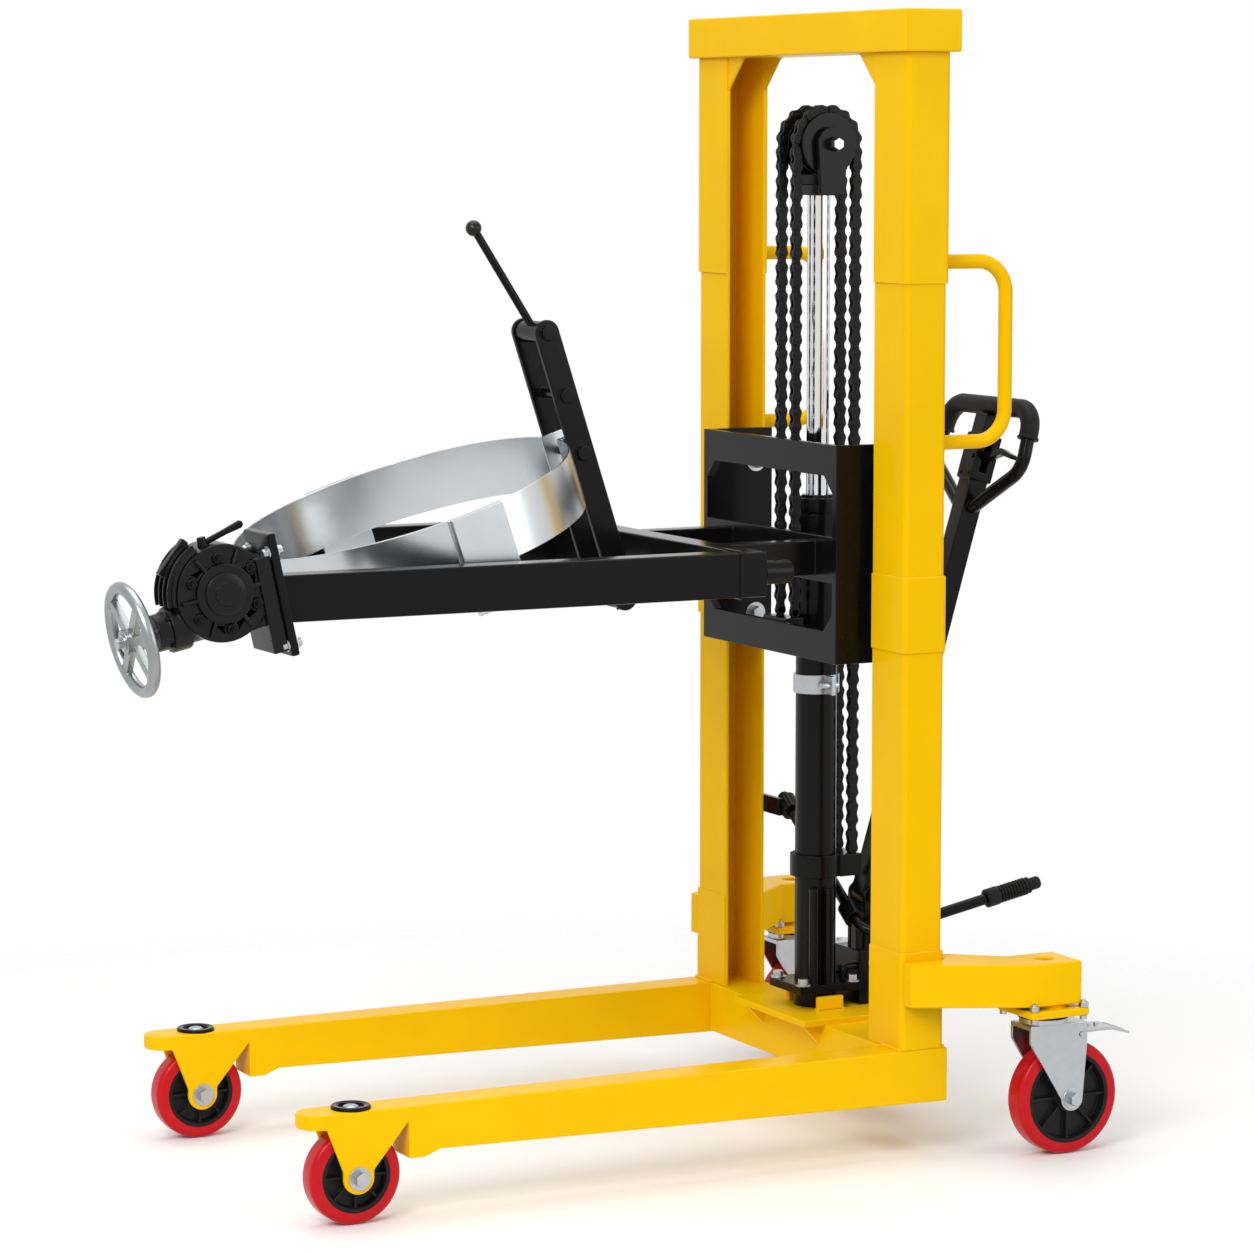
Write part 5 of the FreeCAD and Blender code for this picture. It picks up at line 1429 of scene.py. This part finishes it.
@dataclass
class TiltDrive:
    """Cast gearbox, cover, lock lever and handwheel.

    Attributes:
        reach: Handwheel's distance from the arm's end plate.
        plate: Thickness of the end plate.
        plate_side: Distance of the plate bolts from the middle plane.
        plate_up: Heights of the plate bolts over the handwheel's axis.
        plate_head: Width across flats of a plate bolt.
        case_along: Distance of the round case from the end plate.
        case_up: Height of the round case over the handwheel's axis.
        face: Half-width of the case over its bosses.
        bolt_circle: Radius of the side-cover bolts.
        lugs: Number of side-cover bolts.
        lug_head: Width across flats of a side-cover bolt.
        cover_circle: Radius of the front cover's bolts.
        cover_along: Place of the front cover's face behind the handwheel.
        cover_bolts: Number of front cover bolts.
        cover_head: Width across flats of a front cover bolt.
        webs: Inner and outer end of a side web, from the case's middle.
        web: Radius of a side web at those ends.
        web_sink: How far a web's middle lies under the face.
        cap: Outline of a side cap, as radius and height.
        hub_face: Front of the handwheel's hub.
        hub_nut: Width across flats of the handwheel's nut.
        lever_side: Distance of the lock lever from the middle plane.
        lever: Along, up and radius of points on the lock lever, in millimetres from the case's middle.
        post_along: Place of the lever's post, from the case's middle.
        post: Bottom and top of the post.
        post_radius: Radius of the post at its bottom and top.
        post_soft: Rounding of the post.
        wheel_soft: Rounding of the handwheel.
        case_soft: Rounding of the case.
        cover_soft: Rounding of the front cover.
    """

    reach: float = 250.0 * MM
    plate: float = 14.0 * MM
    plate_side: float = 40.0 * MM
    plate_up: Tuple[float, float] = (-68.0 * MM, 84.0 * MM)
    plate_head: float = 13.0 * MM
    case_along: float = 100.0 * MM
    case_up: float = 40.0 * MM
    face: float = 48.0 * MM
    bolt_circle: float = 58.0 * MM
    lugs: int = 6
    lug_head: float = 9.0 * MM
    cover_circle: float = 31.0 * MM
    cover_along: float = 58.0 * MM
    cover_bolts: int = 4
    cover_head: float = 7.0 * MM
    webs: Tuple[float, float] = (36.0 * MM, 72.0 * MM)
    web: Tuple[float, float] = (4.5 * MM, 3.5 * MM)
    web_sink: float = 5.0 * MM
    cap: Outline = in_millimetres(
        (0.5, 0.0), (34.0, 0.0), (34.0, 3.0), (31.0, 5.0), (20.0, 5.0), (18.0, 8.0), (0.5, 8.0)
    )
    hub_face: float = 16.0 * MM
    hub_nut: float = 16.0 * MM
    lever_side: float = -16.0 * MM
    lever: Tuple[Point, ...] = (
        (16.0, 82.0, 3.0), (0.0, 83.0, 5.0), (-30.0, 90.0, 5.0), (-58.0, 96.0, 6.5), (-62.0, 97.0, 4.0),
    )
    post_along: float = 10.0 * MM
    post: Tuple[float, float] = (60.0 * MM, 92.0 * MM)
    post_radius: Tuple[float, float] = (9.0 * MM, 7.0 * MM)
    post_soft: float = 1.0 * MM
    wheel_soft: float = 1.5 * MM
    case_soft: float = 3.0 * MM
    cover_soft: float = 1.5 * MM

    def frame_of(self) -> Matrix:
        """Work out the gearbox's slanted frame.

        Returns:
            Its matrix, with x forward along the input shaft and z up.
        """
        spin = joint("handwheel_spin")
        out = Vector(spin["axis"]).normalized()
        side = Vector((0.0, 1.0, 0.0))
        up = side.cross(out).normalized()
        if up.z < 0:
            up = -up
        turn = Matrix((out, side, up)).transposed().to_4x4()
        return Matrix.Translation(Vector(spin["pos_m"])) @ turn

    def case_place(self, along: float, side: float, up: float) -> Vector:
        """Give a point from the middle of the round case, in the row frame."""
        return self.frame_of() @ Vector((self.case_along - self.reach + along, side, self.case_up + up))

    def handwheel(self) -> None:
        """Make the smooth rim and spokes with a hub nut."""
        soft_copy("handwheel", Finish.SILVER, self.wheel_soft)
        place = self.frame_of()
        nut = Piece("handwheel_nut", Finish.ZINC)
        nut.hex_bolt(place @ Vector((self.hub_face, 0.0, 0.0)), place.col[0].xyz, self.hub_nut)
        nut.build("handwheel")

    def case(self) -> None:
        """Make the cast case and cover, with their bolts and the end plate's."""
        soft_copy("gearbox_case", Finish.CAST, self.case_soft)
        soft_copy("gearbox_cover", Finish.CAST, self.cover_soft)
        place = self.frame_of()
        ahead, across = place.col[0].xyz, place.col[1].xyz
        large = Piece("plate_bolts", Finish.ZINC)
        small = Piece("case_bolts", Finish.BLACK)
        for sign in (-1.0, 1.0):
            for up in self.plate_up:
                back = place @ Vector((-self.reach, sign * self.plate_side, up))
                large.hex_bolt(back + ahead * self.plate, ahead, self.plate_head)
                large.hex_bolt(back, -ahead, self.plate_head)
            for i in range(self.lugs):
                ray = self.ray(i + 0.5, self.lugs) * self.bolt_circle
                seat = self.case_place(ray.x, sign * self.face, ray.y)
                small.hex_bolt(seat, across * sign, self.lug_head)
        for i in range(self.cover_bolts):
            ray = self.ray(i + 0.5, self.cover_bolts) * self.cover_circle
            small.hex_bolt(place @ Vector((-self.cover_along, ray.x, ray.y)), ahead, self.cover_head)
        large.build("carriage")
        small.build("carriage")

    @staticmethod
    def ray(step: float, count: int) -> Vector:
        """Give a flat unit direction at a step of a full turn."""
        return Vector((math.cos(math.tau * step / count), math.sin(math.tau * step / count)))

    def castings(self) -> None:
        """Make the side caps and webs on the case."""
        across = self.frame_of().col[1].xyz
        piece = Piece("gearbox_castings", Finish.CAST)
        for sign in (-1.0, 1.0):
            piece.lathe(self.cap, self.case_place(0.0, sign * self.face, 0.0), across * sign, steps=48)
            side = sign * (self.face - self.web_sink)
            for i in range(self.lugs):
                ray = self.ray(i, self.lugs)
                inner, outer = (self.case_place(ray.x * far, side, ray.y * far) for far in self.webs)
                piece.bar(inner, outer, *self.web, sides=12)
        piece.build("carriage")

    def lock_lever(self) -> None:
        """Make the short lock lever and its post on top of the case."""
        piece = Piece("lock_lever", Finish.BLACK)
        foot, head = (self.case_place(self.post_along, self.lever_side, up) for up in self.post)
        piece.bar(foot, head, *self.post_radius, bevel=self.post_soft)
        path = [self.case_place(along * MM, self.lever_side, up * MM) for along, up, _ in self.lever]
        piece.sweep(path, [radius * MM for _, _, radius in self.lever], sides=24)
        piece.build("carriage")

    def dress(self) -> None:
        """Make the drive."""
        self.handwheel()
        self.case()
        self.castings()
        self.lock_lever()
        soft_copy("input_shaft", Finish.STEEL)
        paint_node("drive_shaft", Finish.STEEL)
        paint_node("trunnion_shafts", Finish.STEEL)


@dataclass
class BandClamp:
    """Half-bands, bars, lever and knob, about the trunnion axis in the leaning ring's own frame.

    Attributes:
        ring: Outer radius of the band.
        low: Lower edge of the band.
        high: Upper edge of the band.
        front_lug: Outer face of a front lug, from the middle plane.
        rear_lug: Outer face of a rear lug, from the middle plane.
        lug_inset: Front lug's ends from the band's edges.
        plate: Half-width of a trunnion plate.
        bead: Radius of a weld bead.
        bolt_out: Distance of the lug bolts from the band.
        bolt_inset: Distance of the lug bolts from the band's edges.
        bolt: Width across flats of a lug bolt.
        shank: Radius of a lug bolt's shank.
        shank_ends: How far the shank stands past the lugs at its head and its nut.
        skins: Nodes that rounded copies stand for, with finish and rounding.
    """

    ring: float = 299.0 * MM
    low: float = 35.0 * MM
    high: float = 135.0 * MM
    front_lug: float = 18.0 * MM
    rear_lug: float = 40.0 * MM
    lug_inset: float = 10.0 * MM
    plate: float = 48.0 * MM
    bead: float = 3.0 * MM
    bolt_out: float = 22.0 * MM
    bolt_inset: float = 28.0 * MM
    bolt: float = 18.0 * MM
    shank: float = 5.5 * MM
    shank_ends: Tuple[float, float] = (18.0 * MM, 14.0 * MM)
    skins: Tuple[Skin, ...] = (
        ("near_half_band", Finish.BAND, 1.0 * MM), ("far_half_band", Finish.BAND, 1.0 * MM),
        ("clamp_bars", Finish.BLACK, 2.0 * MM), ("clamp_lever", Finish.BLACK, 1.5 * MM),
        ("lever_knob", Finish.KNOB, 0.0),
    )

    @staticmethod
    def place(x: float, y: float, z: float) -> Vector:
        """Bring a point of the ring's frame into the row frame.

        Args:
            x: Distance along, towards the rear.
            y: Distance across.
            z: Distance up the ring's axis.

        Returns:
            The point.
        """
        tilt = joint("tilt")
        turn = Matrix.Rotation(math.radians(tilt["range_deg"][0]), 3, "Y")
        return Vector(tilt["pos_m"]) + turn @ Vector((x, y, z))

    def beads(self) -> None:
        """Lay weld beads where the lugs and trunnion plates meet the band."""
        piece = Piece("band_beads", Finish.ZINC)
        front = -math.sqrt(self.ring ** 2 - self.front_lug ** 2)
        rear = math.sqrt(self.ring ** 2 - self.rear_lug ** 2)
        flank = math.sqrt(self.ring ** 2 - self.plate ** 2)
        for sign in (-1.0, 1.0):
            runs = (
                (front, self.front_lug, self.low + self.lug_inset, self.high - self.lug_inset),
                (rear, self.rear_lug, self.low, self.high),
                (-self.plate, flank, self.low, self.high),
                (self.plate, flank, self.low, self.high),
            )
            for x, y, bottom, top in runs:
                weld(piece, self.place(x, sign * y, bottom), self.place(x, sign * y, top), self.bead)
        piece.build("clamp")

    def lug_bolts(self) -> None:
        """Make the bolts that draw the front lugs together."""
        piece = Piece("lug_bolts", Finish.ZINC)
        x = -self.ring - self.bolt_out
        for z in (self.low + self.bolt_inset, self.high - self.bolt_inset):
            for sign in (-1.0, 1.0):
                piece.hex_bolt(self.place(x, sign * self.front_lug, z), (0.0, sign, 0.0), self.bolt)
            head = self.place(x, -self.front_lug - self.shank_ends[0], z)
            piece.bar(head, self.place(x, self.front_lug + self.shank_ends[1], z), self.shank)
        piece.build("clamp")

    def dress(self) -> None:
        """Make the clamp."""
        self.beads()
        self.lug_bolts()
        soft_copies(self.skins)


@dataclass
class PumpHandle:
    """Pump handle, grips, release lever and foot pedal.

    Attributes:
        collar: Half-depth of the collar block.
        rivet_side: Distance of the collar's rivets from the middle plane.
        rivet_up: Heights of the collar's rivets over the release lever's pin.
        rivet: Lower and upper radius of a rivet.
        rivet_reach: Top of a rivet, as a share of the collar's half-depth.
        rivet_soft: Rounding of a rivet.
        pivot_half: Outer face of the handle's fork, from the middle plane.
        pivot_head: Width across flats of the pivot's bolt.
        grip_end: Place of the rubber sleeve's end, across and up.
        grip_next: A further point along the sleeve, across and up.
        lip: Outline of the sleeve's lip, as radius and height.
        pedal_run: Direction of the pedal's arm.
        pedal_length: Length of the pedal's grip.
        pedal_collar: Outline of the grip's collar, as radius and height.
        pedal_rib: Outline of one fine rib, the same way, from the rib's start.
        pedal_tip: Outline of the grip's slimmer end, the same way.
        pedal_ribs: Fine ribs on the grip.
        rib_start: Place of the first rib.
        rib_pitch: Distance between ribs.
        skins: Nodes that rounded copies stand for, with finish and rounding.
    """

    collar: float = 23.0 * MM
    rivet_side: float = 13.0 * MM
    rivet_up: Tuple[float, float] = (-32.0 * MM, 33.0 * MM)
    rivet: Tuple[float, float] = (4.0 * MM, 2.6 * MM)
    rivet_reach: float = 1.1
    rivet_soft: float = 0.5 * MM
    pivot_half: float = 36.0 * MM
    pivot_head: float = 18.0 * MM
    grip_end: Tuple[float, float] = (144.0 * MM, 43.0 * MM)
    grip_next: Tuple[float, float] = (138.0 * MM, 98.0 * MM)
    lip: Outline = in_millimetres(
        (12.6, 0.0), (18.5, 0.0), (19.5, 1.0), (19.5, 5.0), (17.0, 7.0), (12.6, 7.0)
    )
    pedal_run: Point = (330.0, -35.0, 78.0)
    pedal_length: float = 110.0 * MM
    pedal_collar: Outline = in_millimetres(
        (9.0, 0.0), (15.5, 0.0), (17.0, 1.5), (17.0, 24.0), (16.0, 26.0), (14.0, 26.5)
    )
    pedal_rib: Outline = in_millimetres((14.0, 0.0), (16.0, 0.9), (16.0, 3.3), (14.0, 4.2))
    pedal_tip: Outline = in_millimetres(
        (14.0, 85.0), (15.0, 85.5), (15.0, 88.5), (11.0, 89.0), (11.6, 91.0), (11.6, 106.5),
        (9.5, 110.0), (0.4, 110.0), (0.4, 99.0), (9.0, 99.0),
    )
    pedal_ribs: int = 9
    rib_start: float = 28.0 * MM
    rib_pitch: float = 6.2 * MM
    skins: Tuple[Skin, ...] = (
        ("pump_handle", Finish.BLACK, 2.0 * MM), ("handle_grips", Finish.RUBBER, 1.5 * MM),
        ("release_lever", Finish.BLACK, 1.5 * MM), ("foot_pedal", Finish.BLACK, 0.0),
        ("pedal_collars", Finish.BLACK, 1.0 * MM),
    )

    @staticmethod
    def place(x: float, y: float, z: float) -> Vector:
        """Bring a point from the leaning handle's frame into the row frame.

        Args:
            x: Distance back from the release lever's pin.
            y: Distance across.
            z: Distance up the handle.

        Returns:
            The point.
        """
        pull = joint("release_pull")
        back = -Vector(pull["axis"]).normalized()
        up = Vector((-back.z, 0.0, back.x))
        middle = Vector((pull["pos_m"][0], 0.0, pull["pos_m"][2]))
        return middle + back * x + Vector((0.0, y, 0.0)) + up * z

    def pivot_bolts(self) -> None:
        """Put a bolt head on each side of the handle's pivot."""
        x, _, z = joint("handle_swing")["pos_m"]
        bolts = Piece("handle_bolts", Finish.BLACK)
        for sign in (-1.0, 1.0):
            bolts.hex_bolt((x, sign * self.pivot_half, z), (0.0, sign, 0.0), self.pivot_head)
        bolts.build("pump_handle")

    def collar_rivets(self) -> None:
        """Put rivet heads on the collar block's front and back."""
        piece = Piece("collar_rivets", Finish.BLACK)
        for face in (-self.collar, self.collar):
            for y in (-self.rivet_side, self.rivet_side):
                for z in self.rivet_up:
                    seat, tip = self.place(face, y, z), self.place(face * self.rivet_reach, y, z)
                    piece.bar(seat, tip, *self.rivet, sides=20, bevel=self.rivet_soft)
        piece.build("pump_handle")

    def pedal_rubber(self) -> None:
        """Turn the pedal's grip: a plain collar, fine ribs and a slimmer end."""
        along = Vector(self.pedal_run).normalized()
        start = centre("pedal_grip") - along * self.pedal_length / 2
        outline = list(self.pedal_collar)
        for i in range(self.pedal_ribs):
            base = self.rib_start + i * self.rib_pitch
            outline += [(radius, base + height) for radius, height in self.pedal_rib]
        outline += self.pedal_tip
        piece = Piece("pedal_grip_skin", Finish.RUBBER).lathe(outline, start, along, steps=48)
        piece.build(frame["nodes"]["pedal_grip"]["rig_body"], "pedal_grip")

    def grip_lips(self) -> None:
        """Turn thick lips at the ends of the rubber sleeve."""
        piece = Piece("grip_lips", Finish.RUBBER)
        for sign in (-1.0, 1.0):
            end = self.place(0.0, sign * self.grip_end[0], self.grip_end[1])
            along = self.place(0.0, sign * self.grip_next[0], self.grip_next[1]) - end
            piece.lathe(self.lip, end, along, steps=40)
        piece.build("pump_handle")

    def dress(self) -> None:
        """Make the hand and foot controls."""
        soft_copies(self.skins)
        self.pedal_rubber()
        self.pivot_bolts()
        self.collar_rivets()
        self.grip_lips()


# Stage


@dataclass(frozen=True)
class Panel:
    """A square soft lamp.

    Attributes:
        name: Name of the lamp.
        place: Where it hangs.
        size: Length of its side.
        power: Power in watts.
    """

    name: str
    place: Point
    size: float
    power: float


@dataclass
class Stage:
    """Camera, lights and floor.

    Attributes:
        azimuth: Degrees round from the gearbox side.
        elevation: Degrees above the horizon.
        distance: Metres from the aim.
        sensor: Width of the camera's sensor in millimetres.
        focal: Focal length in picture widths.
        aim: Point in the middle of the picture.
        panels: The lamps.
        lit: Point that the lamps face.
        ambient: Strength of the light from all round.
        floor_radius: Radius of the pale floor.
        floor_sides: Sides of its outline.
        floor_fade: Where it starts to fade and where it is clear, as shares of its radius.
        floor_roughness: Roughness of the floor.
    """

    azimuth: float = -27.0
    elevation: float = 6.5
    distance: float = 7.5
    sensor: float = 36.0
    focal: float = 3.437
    aim: Point = (0.129, -0.029, 0.910)
    panels: Tuple[Panel, ...] = (
        Panel("key", (-3.6, -3.2, 4.0), 2.6, 180.0),
        Panel("fill", (3.4, -4.2, 2.6), 3.0, 60.0),
        Panel("top", (0.0, 0.5, 5.2), 4.0, 120.0),
    )
    lit: Point = (0.0, 0.0, 0.8)
    ambient: float = 0.5
    floor_radius: float = 2.6
    floor_sides: int = 96
    floor_fade: Tuple[float, float] = (0.4, 0.95)
    floor_roughness: float = 0.6

    @staticmethod
    def stand(
        name: str, data: bpy.types.ID, place: Sequence[float], target: Sequence[float]
    ) -> bpy.types.Object:
        """Stand a camera or a lamp in the scene, turned to a point.

        Args:
            name: Name of the object.
            data: Camera or lamp.
            place: Where it stands.
            target: Where it looks.

        Returns:
            The new object.
        """
        made = bpy.data.objects.new(name, data)
        made.location = place
        made.rotation_mode = "QUATERNION"
        made.rotation_quaternion = (Vector(target) - Vector(place)).to_track_quat("-Z", "Y")
        bpy.context.scene.collection.objects.link(made)
        return made

    def camera(self) -> None:
        """Place the camera."""
        data = bpy.data.cameras.new("camera")
        data.sensor_width = self.sensor
        data.lens = self.sensor * self.focal
        data.dof.use_dof = False
        a, e = math.radians(self.azimuth), math.radians(self.elevation)
        back = Vector((math.sin(a) * math.cos(e), -math.cos(a) * math.cos(e), math.sin(e)))
        place = Vector(self.aim) + back * self.distance
        bpy.context.scene.camera = self.stand("camera", data, place, self.aim)

    def lights(self) -> None:
        """Hang soft panels round the machine."""
        for panel in self.panels:
            data = bpy.data.lights.new(panel.name, "AREA")
            data.energy = panel.power
            data.size = panel.size
            self.stand(panel.name, data, panel.place, self.lit)

    def surround(self) -> None:
        """Light from all round, with plain white behind the machine."""
        world = bpy.data.worlds.new("surround")
        world.use_nodes = True
        nodes, links = world.node_tree.nodes, world.node_tree.links
        glow = nodes["Background"]
        glow.inputs["Color"].default_value = WHITE
        glow.inputs["Strength"].default_value = self.ambient
        seen = nodes.new("ShaderNodeBackground")
        seen.inputs["Color"].default_value = WHITE
        path = nodes.new("ShaderNodeLightPath")
        mix = nodes.new("ShaderNodeMixShader")
        sight = path.outputs["Is Camera Ray"]
        for ray in ("Is Glossy Ray", "Is Transmission Ray"):
            either = nodes.new("ShaderNodeMath")
            either.operation = "MAXIMUM"
            links.new(sight, either.inputs[0])
            links.new(path.outputs[ray], either.inputs[1])
            sight = either.outputs["Value"]
        links.new(sight, mix.inputs["Fac"])
        links.new(glow.outputs["Background"], mix.inputs[1])
        links.new(seen.outputs["Background"], mix.inputs[2])
        links.new(mix.outputs["Shader"], nodes["World Output"].inputs["Surface"])
        bpy.context.scene.world = world

    def floor_material(self) -> bpy.types.Material:
        """Mix a pale floor that fades into the white behind it.

        Returns:
            The material.
        """
        material = bpy.data.materials.new("floor")
        material.use_nodes = True
        nodes, links = material.node_tree.nodes, material.node_tree.links
        shader = nodes["Principled BSDF"]
        shader.inputs["Base Color"].default_value = PALE
        shader.inputs["Roughness"].default_value = self.floor_roughness
        place = nodes.new("ShaderNodeTexCoord")
        length = nodes.new("ShaderNodeVectorMath")
        length.operation = "LENGTH"
        fade = nodes.new("ShaderNodeMapRange")
        fade.interpolation_type = "SMOOTHSTEP"
        for end, share in zip(("From Min", "From Max"), self.floor_fade):
            fade.inputs[end].default_value = self.floor_radius * share
        clear = nodes.new("ShaderNodeBsdfTransparent")
        mix = nodes.new("ShaderNodeMixShader")
        links.new(place.outputs["Object"], length.inputs[0])
        links.new(length.outputs["Value"], fade.inputs["Value"])
        links.new(fade.outputs["Result"], mix.inputs["Fac"])
        links.new(shader.outputs["BSDF"], mix.inputs[1])
        links.new(clear.outputs["BSDF"], mix.inputs[2])
        links.new(mix.outputs["Shader"], nodes["Material Output"].inputs["Surface"])
        return material

    def floor(self) -> None:
        """Lay the round floor."""
        mesh = bpy.data.meshes.new("floor")
        bm = bmesh.new()
        bmesh.ops.create_circle(bm, cap_ends=True, segments=self.floor_sides, radius=self.floor_radius)
        bm.to_mesh(mesh)
        bm.free()
        mesh.materials.append(self.floor_material())
        made = bpy.data.objects.new("floor", mesh)
        bpy.context.scene.collection.objects.link(made)

    def set(self) -> None:
        """Make the whole stage."""
        bpy.context.scene.view_settings.view_transform = "Standard"
        self.camera()
        self.lights()
        self.surround()
        self.floor()


def main() -> None:
    """Dress the machine, assembly by assembly, and set the stage."""
    logging.basicConfig(level=logging.INFO)
    for assembly in (
        Chassis(), Wheels(), Hydraulics(), LiftChain(), Carriage(), TiltDrive(), BandClamp(), PumpHandle(),
    ):
        LOG.info("%s", type(assembly).__name__)
        assembly.dress()
    Stage().set()


if __name__ == "__main__":
    main()
